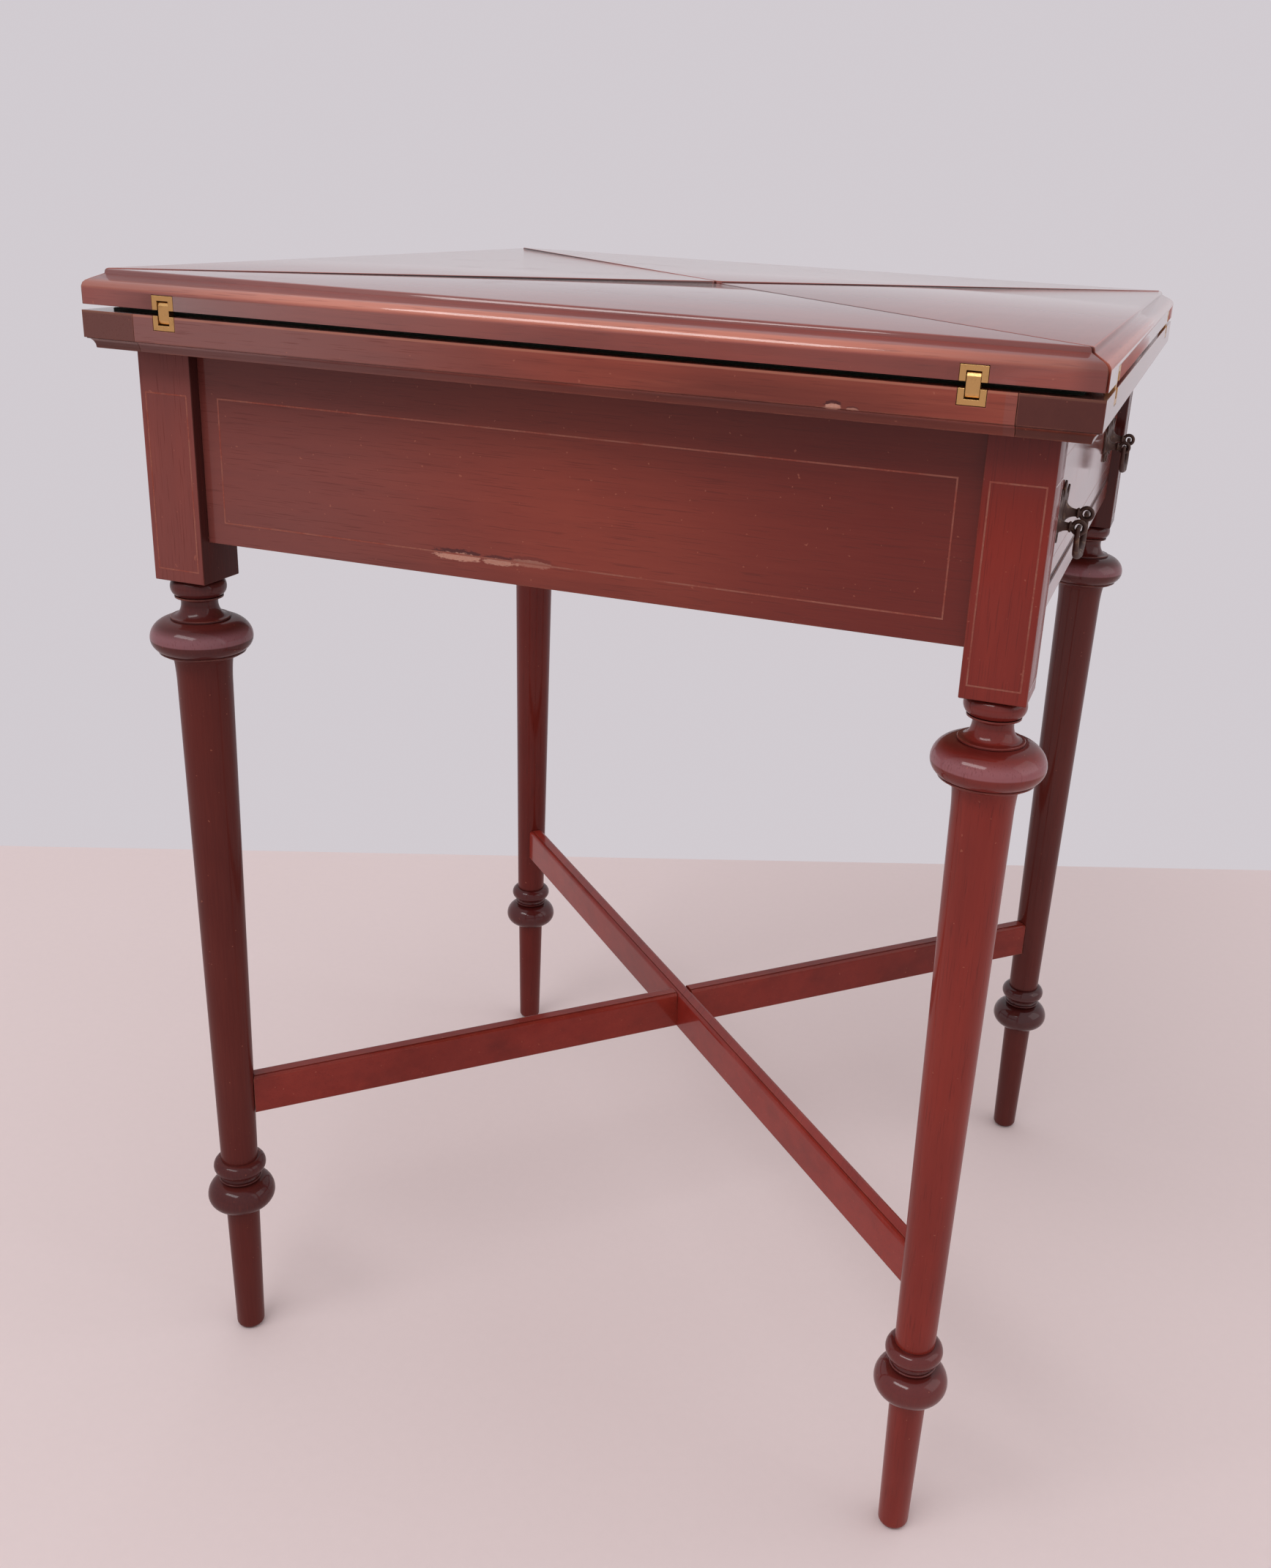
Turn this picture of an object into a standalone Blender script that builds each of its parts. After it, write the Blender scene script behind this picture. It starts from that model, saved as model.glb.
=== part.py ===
"""Envelope card table, modelled piece by piece in metres with +Z up.

The square top is a base board with four triangular flaps that meet at the centre. Each flap folds
out on a pair of brass links with two pins. The top turns an eighth of a turn on a central stud, so
that the corners of the stand carry the open flaps. The stand has four turned legs with square
heads, aprons on three sides, a drawer in the fourth side and two crossed stretcher rails.
The origin is on the floor under the centre of the table, and the drawer opens towards +X.
"""

import math

import bmesh
import bpy
from mathutils import Matrix, Vector

# Overall sizes
TABLE_HEIGHT = 0.750
TOP_SIDE = 0.564
TOP_OVERHANG = 0.0195
FITTED_GAP = 0.0003
CUT_OVERRUN = 0.004

# Base board
BOARD_THICKNESS = 0.0207
BOARD_FLAT = 0.0149
BOARD_STEP = 0.0010
BOARD_HOLLOW = 0.0034
LEFT_CLAMP_WIDTH = 0.034
RIGHT_CLAMP_WIDTH = 0.040
CLAMP_TONGUE_LENGTH = 0.008
CLAMP_TONGUE_THICKNESS = 0.007
CLAMP_TONGUE_SETBACK = 0.028

# Flaps
FLAP_THICKNESS = 0.0194
FLAP_LIFT = 0.0032
FLAP_TOP_ROUND = 0.0010
FLAP_HOLLOW = 0.0044
FLAP_SHELF = 0.0012
FLAP_ROUND_OVER = 0.0027
DIAGONAL_GAP = 0.0017
FLAP_TIP_SETBACK = 0.0032

# Cloth lining of the playing surface
LINING_RECESS = 0.0006
LINING_EDGE = 0.012
LINING_BORDER = 0.040

# Link hinges, two on each side of the top
HINGE_A_INSET = 0.0543
HINGE_B_INSET = 0.0615
PIN_DEPTH = 0.0029
PIN_FROM_MIDDLE = 0.0040
PIN_RADIUS = 0.0009
PIN_LENGTH = 0.0126
LINK_WIDTH = 0.0068
LINK_END_RADIUS = 0.0023
LINK_CLEARANCE = 0.0003
PLATE_WIDTH = 0.0136
PLATE_HEIGHT = 0.0077
PLATE_DEPTH = 0.0062

# Stand: leg heads, aprons and rails
HEAD_SIDE = 0.035
HEAD_HEIGHT = 0.1357
APRON_HEIGHT = 0.1104
APRON_THICKNESS = 0.018
APRON_RECESS = 0.007
LOWER_RAIL_HEIGHT = 0.015
UPPER_RAIL_HEIGHT = 0.012
TENON_LENGTH = 0.014
TENON_THICKNESS = 0.007
TENON_SHOULDER = 0.010
RAIL_TENON_SHOULDER = 0.003

# Turned part of the leg, radii and heights above the floor
TURNING_OVERLAP = 0.004
NECK_BEAD_RADIUS = 0.0168
NECK_BEAD_ROOT = 0.0125
NECK_BEAD_HEIGHT = 0.0112
NECK_FILLET_RADIUS = 0.0146
NECK_FILLET_HEIGHT = 0.0010
NECK_RADIUS = 0.0110
NECK_HEIGHT = 0.0036
NECK_FLARE = 0.0085
COLLAR_RADIUS = 0.0180
COLLAR_HEIGHT = 0.0015
BUN_RADIUS = 0.0309
BUN_ROOT = 0.0175
BUN_UPPER_HEIGHT = 0.0120
BUN_LOWER_HEIGHT = 0.0104
BUN_TOP_DEG = 84.0
BUN_BOTTOM_DEG = 52.0
RING_RADIUS = 0.0262
RING_HEIGHT = 0.0008
RING_UNDERCUT = 0.0010
RING_QUARTER_HEIGHT = 0.0022
SHAFT_TOP_RADIUS = 0.0191
SHAFT_FLARE_HEIGHT = 0.0210
SHAFT_UPPER_RADIUS = 0.0168
SHAFT_LOWER_RADIUS = 0.0126
SHAFT_FOOT_HEIGHT = 0.1473
SMALL_BEAD_RADIUS = 0.0180
SMALL_BEAD_HEIGHT = 0.0118
WAIST_RADIUS = 0.0132
WAIST_HEIGHT = 0.0030
FOOT_COLLAR_RADIUS = 0.0146
FOOT_COLLAR_HEIGHT = 0.0022
FOOT_BEAD_RADIUS = 0.0232
FOOT_BEAD_ROOT = 0.0125
FOOT_NECK_HEIGHT = 0.0010
FOOT_BEAD_UPPER_HEIGHT = 0.0116
FOOT_BEAD_LOWER_HEIGHT = 0.0100
FOOT_BEAD_TOP_DEG = 82.0
FOOT_BEAD_BOTTOM_DEG = 84.0
TOE_TOP_RADIUS = 0.0115
TOE_RADIUS = 0.0098
TOE_ROUND = 0.0040

# Crossed stretcher
STRETCHER_TOP = 0.213
STRETCHER_HEIGHT = 0.0285
STRETCHER_WIDTH = 0.0125
STRETCHER_BEAD = 0.0024
STRETCHER_QUIRK = 0.0006
STRETCHER_TENON_LENGTH = 0.008
STRETCHER_TENON_THICKNESS = 0.006
STRETCHER_TENON_SHOULDER = 0.006

# Swivel
BEARER_WIDTH = 0.100
BEARER_THICKNESS = 0.014
BEARER_HOUSING = 0.008
STUD_RADIUS = 0.008
STUD_CLEARANCE = 0.0004
SWIVEL_PLATE_RADIUS = 0.044
SWIVEL_PLATE_THICKNESS = 0.003
WASHER_RADIUS = 0.018
WASHER_THICKNESS = 0.002
RIVET_RADIUS = 0.0125
RIVET_HEIGHT = 0.005
STOP_PIN_RADIUS = 0.005
STOP_PIN_PLACE = 0.034
STOP_PIN_LENGTH = 0.011
STOP_SLOT_CLEARANCE = 0.0005
TOP_TURN_DEG = 45.0

# Drawer
DRAWER_GAP = 0.0010
DRAWER_FRONT_THICKNESS = 0.018
DRAWER_SIDE_THICKNESS = 0.010
DRAWER_SIDE_TOP_GAP = 0.0009
DRAWER_BACK_THICKNESS = 0.009
DRAWER_BACK_SETBACK = 0.010
DRAWER_BACK_LOWERED = 0.0076
DRAWER_BOTTOM_THICKNESS = 0.005
DRAWER_BOTTOM_LIFT = 0.005
DRAWER_GROOVE_DEPTH = 0.004
DRAWER_STOP_THICKNESS = 0.0045
DRAWER_STOP_WIDTH = 0.009
DRAWER_STOP_LIFT = 0.014
DRAWER_STOP_HEIGHT = 0.040
TAIL_LENGTH = 0.012
TAIL_ROOT_WIDTH = 0.012
TAIL_END_WIDTH = 0.016
TAIL_COUNT = 3

# Runners, guides and kickers inside the stand
RUNNER_WIDTH = 0.025
GUIDE_INSET = 0.0005
KICKER_WIDTH = 0.021
KICKER_THICKNESS = 0.010

# Bail handles
HANDLE_INSET = 0.0705
HANDLE_LIFT = 0.038
EYE_SPACING = 0.042
EYE_DROP = 0.002
EYE_REACH = 0.0138
EYE_MAJOR_RADIUS = 0.0029
EYE_MINOR_RADIUS = 0.0011
POST_RADIUS = 0.0021
POST_COLLAR_RADIUS = 0.0040
POST_COLLAR_THICKNESS = 0.0016
SHANK_RADIUS = 0.0020
SHANK_TAIL = 0.0010
HANDLE_PLATE_THICKNESS = 0.0010
HANDLE_PLATE_WIDTH = 0.080
HANDLE_PLATE_HEIGHT = 0.032
HANDLE_NUT_RADIUS = 0.0050
HANDLE_NUT_THICKNESS = 0.0030
BAIL_DROP = 0.0182
BAIL_OVERHANG = 0.0042
BAIL_PIN_INNER = 0.0032
BAIL_END_RADIUS = 0.0013
BAIL_MIDDLE_RADIUS = 0.0025

# Half outline of the handle's back plate, as shares of half its width and half its height
HANDLE_PLATE_OUTLINE_SHARES = (
    (0.00, 0.86), (0.07, 0.62), (0.19, 0.50), (0.30, 0.62), (0.38, 0.92), (0.47, 1.00), (0.55, 0.72),
    (0.68, 0.44), (0.84, 0.46), (1.00, 0.66), (0.94, 0.28), (0.84, -0.02), (0.90, -0.36), (0.76, -0.28),
    (0.62, -0.47), (0.54, -0.86), (0.40, -0.58), (0.24, -0.44), (0.10, -0.68), (0.00, -1.00),
)

# Numbers of facets and steps
LEG_FACETS = 20
SCRIBE_FACETS = 40
PIN_FACETS = 8
ROUND_FACETS = 24
POST_FACETS = 8
RING_FACETS = 14
RING_SIDE_FACETS = 6
BEAD_STEPS = 4
CURVE_STEPS = 3
ARC_STEPS = 2
BAIL_STEPS = 16
BAIL_BEVEL_STEPS = 1
SLOT_STEPS = 8
WELD_DISTANCE = 0.00001
SHARP_ANGLE_DEG = 35.0

# Sizes that follow from the ones above
HALF_TOP = TOP_SIDE / 2
HALF_STAND = HALF_TOP - TOP_OVERHANG
LEG_AXIS = HALF_STAND - HEAD_SIDE / 2
HEAD_INNER = HALF_STAND - HEAD_SIDE
APRON_OUTER = HALF_STAND - APRON_RECESS
APRON_INNER = APRON_OUTER - APRON_THICKNESS
FLAP_BOTTOM = TABLE_HEIGHT - FLAP_THICKNESS
BOARD_TOP = FLAP_BOTTOM - FLAP_LIFT
BOARD_BOTTOM = BOARD_TOP - BOARD_THICKNESS
STAND_TOP = BOARD_BOTTOM - FITTED_GAP
APRON_BOTTOM = STAND_TOP - APRON_HEIGHT
HEAD_BOTTOM = STAND_TOP - HEAD_HEIGHT
LOWER_RAIL_TOP = APRON_BOTTOM + LOWER_RAIL_HEIGHT
UPPER_RAIL_BOTTOM = STAND_TOP - UPPER_RAIL_HEIGHT
BEARER_BOTTOM = STAND_TOP - BEARER_THICKNESS
KICKER_TOP = BEARER_BOTTOM - FITTED_GAP
KICKER_BOTTOM = KICKER_TOP - KICKER_THICKNESS
LINING_PROUD = (FLAP_LIFT - FITTED_GAP) / 2
HINGE_MIDDLE = BOARD_TOP + FLAP_LIFT / 2
DRAWER_FLOOR = LOWER_RAIL_TOP + FITTED_GAP
DRAWER_SIDE_TOP = KICKER_BOTTOM - DRAWER_SIDE_TOP_GAP
DRAWER_HALF_WIDTH = HEAD_INNER - DRAWER_GAP
DRAWER_INNER = DRAWER_HALF_WIDTH - DRAWER_SIDE_THICKNESS
HANDLE_PLACE = DRAWER_HALF_WIDTH - HANDLE_INSET
DRAWER_FRONT_BACK = APRON_OUTER - DRAWER_FRONT_THICKNESS
DRAWER_FRONT_BOTTOM = LOWER_RAIL_TOP + DRAWER_GAP
DRAWER_FRONT_TOP = UPPER_RAIL_BOTTOM - DRAWER_GAP
DRAWER_END = -APRON_INNER + DRAWER_STOP_THICKNESS + FITTED_GAP
DRAWER_BOTTOM_UNDERSIDE = DRAWER_FLOOR + DRAWER_BOTTOM_LIFT
EYE_HEIGHT = DRAWER_FRONT_BOTTOM + HANDLE_LIFT - EYE_DROP

# Colour, roughness and metallic value of each finish
FINISHES = {
    "mahogany": ((0.190, 0.036, 0.022), 0.32, 0.0),
    "dark_mahogany": ((0.095, 0.022, 0.018), 0.28, 0.0),
    "drawer_wood": ((0.330, 0.160, 0.085), 0.60, 0.0),
    "inside_wood": ((0.240, 0.105, 0.055), 0.70, 0.0),
    "baize": ((0.020, 0.105, 0.045), 0.95, 0.0),
    "bright_brass": ((0.760, 0.480, 0.170), 0.34, 1.0),
    "aged_bronze": ((0.090, 0.060, 0.045), 0.45, 0.9),
    "black_iron": ((0.050, 0.048, 0.047), 0.55, 0.8),
}

SIDES = ("front", "right", "back", "left")
HANDS = ("a", "b")


def clear_scene():
    """Remove whatever objects the scene holds."""
    for item in list(bpy.data.objects):
        bpy.data.objects.remove(item)


def new_collection(name):
    """Make a collection under the scene."""
    group = bpy.data.collections.new(name)
    bpy.context.scene.collection.children.link(group)
    return group


def finish_material(name, finish):
    """Make the material of one piece from the values of its finish."""
    colour, roughness, metallic = FINISHES[finish]
    material = bpy.data.materials.new(name + "_finish")
    material.use_nodes = True
    shader = material.node_tree.nodes["Principled BSDF"]
    shader.inputs["Base Color"].default_value = (*colour, 1.0)
    shader.inputs["Roughness"].default_value = roughness
    shader.inputs["Metallic"].default_value = metallic
    material.diffuse_color = (*colour, 1.0)
    return material


def add_part(name, mesh, finish):
    """Add a sub-part of the table."""
    mesh.materials.clear()
    mesh.materials.append(finish_material(name, finish))
    item = bpy.data.objects.new(name, mesh)
    PARTS.objects.link(item)
    return item


def add_cutter(name, mesh):
    """Add a shape that only cuts or joins others."""
    item = bpy.data.objects.new(name, mesh)
    item.hide_render = True
    item.display_type = 'WIRE'
    CUTTERS.objects.link(item)
    return item


def combine(item, other, operation):
    """Cut, join or intersect one shape with another."""
    step = item.modifiers.new(other.name, 'BOOLEAN')
    step.solver = 'EXACT'
    step.operation = operation
    step.object = other


def cut(item, *others):
    """Cut each of the other shapes away from this one."""
    for other in others:
        combine(item, other, 'DIFFERENCE')


def join(item, *others):
    """Join each of the other shapes to this one."""
    for other in others:
        combine(item, other, 'UNION')


def settled_mesh(item):
    """Take the mesh that an object shows once its modifiers have worked, and remove the object."""
    graph = bpy.context.evaluated_depsgraph_get()
    mesh = bpy.data.meshes.new_from_object(item.evaluated_get(graph))
    mesh.transform(item.matrix_world)
    bpy.data.objects.remove(item)
    return mesh


def mesh_from(name, shape):
    """Turn an edited shape into a mesh."""
    mesh = bpy.data.meshes.new(name)
    shape.to_mesh(mesh)
    shape.free()
    return mesh


def box_mesh(name, low, high):
    """Make a box between its lowest and highest corners."""
    low = Vector(low)
    high = Vector(high)
    place = Matrix.Translation((low + high) / 2) @ Matrix.Diagonal((*(high - low), 1.0))
    shape = bmesh.new()
    bmesh.ops.create_cube(shape, size=1.0, matrix=place)
    return mesh_from(name, shape)


def rod_mesh(name, radius, start, end, facets):
    """Make a round rod between two points."""
    start = Vector(start)
    end = Vector(end)
    turn = (end - start).to_track_quat('Z', 'Y').to_matrix().to_4x4()
    shape = bmesh.new()
    bmesh.ops.create_cone(
        shape, cap_ends=True, segments=facets, radius1=radius, radius2=radius,
        depth=(end - start).length, matrix=Matrix.Translation((start + end) / 2) @ turn,
    )
    return mesh_from(name, shape)


def grown(low, high, gap):
    """Grow a box by a gap on every side."""
    margin = Vector((gap, gap, gap))
    return Vector(low) - margin, Vector(high) + margin


def outline_mesh(name, outline, thickness, place):
    """Give a flat outline its thickness and move it by a placement matrix."""
    curve = bpy.data.curves.new(name, 'CURVE')
    curve.dimensions = '2D'
    curve.fill_mode = 'BOTH'
    curve.extrude = thickness / 2
    line = curve.splines.new('POLY')
    line.points.add(len(outline) - 1)
    for point, (across, up) in zip(line.points, outline):
        point.co = (across, up, 0, 1)
    line.use_cyclic_u = True
    guide = add_cutter(name, curve)
    mesh = settled_mesh(guide)
    shape = bmesh.new()
    shape.from_mesh(mesh)
    bmesh.ops.remove_doubles(shape, verts=shape.verts, dist=WELD_DISTANCE)
    bmesh.ops.recalc_face_normals(shape, faces=shape.faces)
    shape.transform(place)
    return mesh_from(name, shape)


def upright(axis):
    """Placement that stands an XY outline up: its first axis along X or Y, its second along Z."""
    if axis == 'X':
        return Matrix.Rotation(math.radians(90), 4, 'X')
    return Matrix(((0, 0, 1, 0), (1, 0, 0, 0), (0, 1, 0, 0), (0, 0, 0, 1)))


def arc(centre, reach, start_deg, end_deg, steps=ARC_STEPS):
    """Points along a quarter or other stretch of an ellipse."""
    points = []
    for step in range(steps + 1):
        angle = math.radians(start_deg + (end_deg - start_deg) * step / steps)
        points.append((centre[0] + reach[0] * math.cos(angle), centre[1] + reach[1] * math.sin(angle)))
    return points


def turned_mesh(name, profile, facets):
    """Turn a profile of radii and heights, listed from the top down, about the Z axis."""
    mesh = bpy.data.meshes.new(name)
    points = [(radius, 0, height) for radius, height in profile]
    edges = [(index, index + 1) for index in range(len(points) - 1)]
    mesh.from_pydata(points, edges, [])
    item = add_cutter(name, mesh)
    turn = item.modifiers.new("turning", 'SCREW')
    turn.axis = 'Z'
    turn.steps = facets
    turn.render_steps = facets
    turn.use_merge_vertices = True
    turn.merge_threshold = WELD_DISTANCE
    return settled_mesh(item)


def gathered_mesh(name, meshes):
    """Put separate bodies into one mesh."""
    shape = bmesh.new()
    for mesh in meshes:
        shape.from_mesh(mesh)
    return mesh_from(name, shape)


def shade_round(item):
    """Shade a round piece smooth up to its sharp edges."""
    item.data.shade_smooth()
    item.data.set_sharp_from_angle(angle=math.radians(SHARP_ANGLE_DEG))


def pivot_at(name, place):
    """Put an empty on a joint's axis."""
    pivot = bpy.data.objects.new(name, None)
    pivot.location = place
    PARTS.objects.link(pivot)
    return pivot


def carry(pivot, *items):
    """Hang pieces on a joint's empty without moving them."""
    for item in items:
        item.parent = pivot
        item.matrix_parent_inverse = Matrix.Translation(pivot.location).inverted()


def quarter_turn(side):
    """Turn from the front of the table to one of its sides."""
    return Matrix.Rotation(math.radians(90) * SIDES.index(side), 4, 'Z')


# Turned legs


def bead(root, radius, top, height):
    """Profile of a half-round bead below a height."""
    middle = top - height / 2
    return arc((root, middle), (radius - root, height / 2), 90, -90, BEAD_STEPS)


def head_turnings():
    """Profile of the bead, neck and collar under the square head."""
    top = HEAD_BOTTOM
    profile = [(0, top + TURNING_OVERLAP), (NECK_BEAD_ROOT, top + TURNING_OVERLAP)]
    profile += bead(NECK_BEAD_ROOT, NECK_BEAD_RADIUS, top, NECK_BEAD_HEIGHT)
    fillet_top = top - NECK_BEAD_HEIGHT
    fillet_bottom = fillet_top - NECK_FILLET_HEIGHT
    profile += [(NECK_FILLET_RADIUS, fillet_top), (NECK_FILLET_RADIUS, fillet_bottom)]
    flare_top = fillet_bottom - NECK_HEIGHT
    profile += [(NECK_RADIUS + RING_UNDERCUT, fillet_bottom)]
    collar_inner = COLLAR_RADIUS - RING_UNDERCUT
    reach = (collar_inner - NECK_RADIUS, NECK_FLARE)
    profile += arc((collar_inner, flare_top), reach, 180, 270, CURVE_STEPS)
    collar_top = flare_top - NECK_FLARE
    profile += [(COLLAR_RADIUS, collar_top), (COLLAR_RADIUS, collar_top - COLLAR_HEIGHT)]
    return profile


def bun_middle():
    """Height of the bun's widest line, which follows from the turnings above it."""
    collar_bottom = HEAD_BOTTOM - NECK_BEAD_HEIGHT - NECK_FILLET_HEIGHT - NECK_HEIGHT - NECK_FLARE - COLLAR_HEIGHT
    return collar_bottom - BUN_UPPER_HEIGHT * math.sin(math.radians(BUN_TOP_DEG))


def bun_turnings():
    """Profile of the flattened bun and the ring under it."""
    swell = BUN_RADIUS - BUN_ROOT
    centre = (BUN_ROOT, bun_middle())
    profile = arc(centre, (swell, BUN_UPPER_HEIGHT), BUN_TOP_DEG, 0, CURVE_STEPS)
    profile += arc(centre, (swell, BUN_LOWER_HEIGHT), 0, -BUN_BOTTOM_DEG)[1:]
    ring_top = profile[-1][1]
    ring_bottom = ring_top - RING_HEIGHT
    profile += [(RING_RADIUS, ring_top), (RING_RADIUS, ring_bottom)]
    reach = (RING_RADIUS - RING_UNDERCUT - SHAFT_TOP_RADIUS, RING_QUARTER_HEIGHT)
    profile += arc((SHAFT_TOP_RADIUS, ring_bottom), reach, 0, -90)
    return profile


def shaft_top():
    """Height at which the shaft starts, below the quarter round under the bun's ring."""
    ring_top = bun_middle() - BUN_LOWER_HEIGHT * math.sin(math.radians(BUN_BOTTOM_DEG))
    return ring_top - RING_HEIGHT - RING_QUARTER_HEIGHT


def shaft_turnings():
    """Profile of the tapered shaft, flared at its top."""
    centre = (SHAFT_TOP_RADIUS, shaft_top() - SHAFT_FLARE_HEIGHT)
    reach = (SHAFT_TOP_RADIUS - SHAFT_UPPER_RADIUS, SHAFT_FLARE_HEIGHT)
    profile = arc(centre, reach, 120, 180)
    profile.append((SHAFT_LOWER_RADIUS, SHAFT_FOOT_HEIGHT))
    return profile


def foot_turnings():
    """Profile of the beads above the toe, and the toe."""
    profile = bead(SHAFT_LOWER_RADIUS, SMALL_BEAD_RADIUS, SHAFT_FOOT_HEIGHT, SMALL_BEAD_HEIGHT)
    waist_top = SHAFT_FOOT_HEIGHT - SMALL_BEAD_HEIGHT
    waist_bottom = waist_top - WAIST_HEIGHT
    collar_bottom = waist_bottom - FOOT_COLLAR_HEIGHT
    profile += [(WAIST_RADIUS, waist_top), (WAIST_RADIUS, waist_bottom)]
    profile += bead(WAIST_RADIUS, FOOT_COLLAR_RADIUS, waist_bottom, FOOT_COLLAR_HEIGHT)[1:]
    swell = FOOT_BEAD_RADIUS - FOOT_BEAD_ROOT
    rise = FOOT_BEAD_UPPER_HEIGHT * math.sin(math.radians(FOOT_BEAD_TOP_DEG))
    centre = (FOOT_BEAD_ROOT, collar_bottom - FOOT_NECK_HEIGHT - rise)
    profile += arc(centre, (swell, FOOT_BEAD_UPPER_HEIGHT), FOOT_BEAD_TOP_DEG, 0, CURVE_STEPS)
    profile += arc(centre, (swell, FOOT_BEAD_LOWER_HEIGHT), 0, -FOOT_BEAD_BOTTOM_DEG, CURVE_STEPS)[1:]
    profile.append((TOE_TOP_RADIUS, profile[-1][1]))
    toe = TOE_RADIUS - TOE_ROUND
    profile += arc((toe, TOE_ROUND), (TOE_ROUND, TOE_ROUND), 0, -90)
    profile.append((0, 0))
    return profile


def leg_profile():
    """Whole turned profile, from inside the square head down to the floor."""
    return head_turnings() + bun_turnings() + shaft_turnings() + foot_turnings()


def make_leg(name, side_x, side_y, mortises):
    """Make one leg: a square head, the turned shaft below it and the mortises cut in both."""
    mesh = turned_mesh(name, leg_profile(), LEG_FACETS)
    centre = Vector((side_x * LEG_AXIS, side_y * LEG_AXIS, 0))
    mesh.transform(Matrix.Translation(centre))
    half = Vector((HEAD_SIDE / 2, HEAD_SIDE / 2, 0))
    low = centre - half + Vector((0, 0, HEAD_BOTTOM))
    high = centre + half + Vector((0, 0, STAND_TOP))
    item = add_part(name, mesh, "mahogany")
    join(item, add_cutter(name + "_head", box_mesh(name, low, high)))
    cut(item, *mortises)
    shade_round(item)
    return item


# Aprons and rails


def framed_rail(name, low, high, along, shoulder, finish):
    """Make a board with a tenon on each end, and the shape of its mortises."""
    low = Vector(low)
    high = Vector(high)
    across = 1 - along
    bar_low = low.copy()
    bar_high = high.copy()
    bar_low[along] -= TENON_LENGTH + FITTED_GAP
    bar_high[along] += TENON_LENGTH + FITTED_GAP
    middle = (low[across] + high[across]) / 2
    bar_low[across] = middle - TENON_THICKNESS / 2
    bar_high[across] = middle + TENON_THICKNESS / 2
    bar_low[2] += shoulder
    bar_high[2] -= shoulder
    item = add_part(name, box_mesh(name, low, high), finish)
    join(item, add_cutter(name + "_tenons", box_mesh(name, bar_low, bar_high)))
    mortise = add_cutter(name + "_mortises", box_mesh(name, *grown(bar_low, bar_high, FITTED_GAP)))
    return item, mortise


def make_frame():
    """Make the aprons and the two rails round the drawer opening."""
    reach = HEAD_INNER - FITTED_GAP
    bands = {
        "apron_front": ((-reach, -APRON_OUTER, APRON_BOTTOM), (reach, -APRON_INNER, STAND_TOP), 0),
        "apron_back": ((-reach, APRON_INNER, APRON_BOTTOM), (reach, APRON_OUTER, STAND_TOP), 0),
        "apron_left": ((-APRON_OUTER, -reach, APRON_BOTTOM), (-APRON_INNER, reach, STAND_TOP), 1),
    }
    items = {}
    mortises = {}
    for name, (low, high, along) in bands.items():
        items[name], mortises[name] = framed_rail(name, low, high, along, TENON_SHOULDER, "mahogany")
    rails = {
        "drawer_rail_lower": (APRON_BOTTOM, LOWER_RAIL_TOP),
        "drawer_rail_upper": (UPPER_RAIL_BOTTOM, STAND_TOP),
    }
    for name, (bottom, top) in rails.items():
        low = (APRON_INNER, -reach, bottom)
        high = (APRON_OUTER, reach, top)
        items[name], mortises[name] = framed_rail(name, low, high, 1, RAIL_TENON_SHOULDER, "mahogany")
    return items, mortises


# Stretcher


def stretcher_section():
    """Half-width and height outline of a rail with a beaded edge along each upper arris."""
    half = STRETCHER_WIDTH / 2
    edge = STRETCHER_HEIGHT - STRETCHER_QUIRK
    bead_centre = (half - STRETCHER_BEAD, edge - STRETCHER_BEAD)
    right = [(half, 0)] + arc(bead_centre, (STRETCHER_BEAD, STRETCHER_BEAD), 0, 90, CURVE_STEPS)
    flat = half - STRETCHER_BEAD - STRETCHER_QUIRK
    right += [(flat, edge), (flat, STRETCHER_HEIGHT)]
    return right + [(-across, up) for across, up in reversed(right)]


def shaft_radius(height):
    """Radius of the leg's shaft at a height."""
    flare_bottom = shaft_top() - SHAFT_FLARE_HEIGHT
    share = (height - SHAFT_FOOT_HEIGHT) / (flare_bottom - SHAFT_FOOT_HEIGHT)
    return SHAFT_LOWER_RADIUS + (SHAFT_UPPER_RADIUS - SHAFT_LOWER_RADIUS) * share


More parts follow.
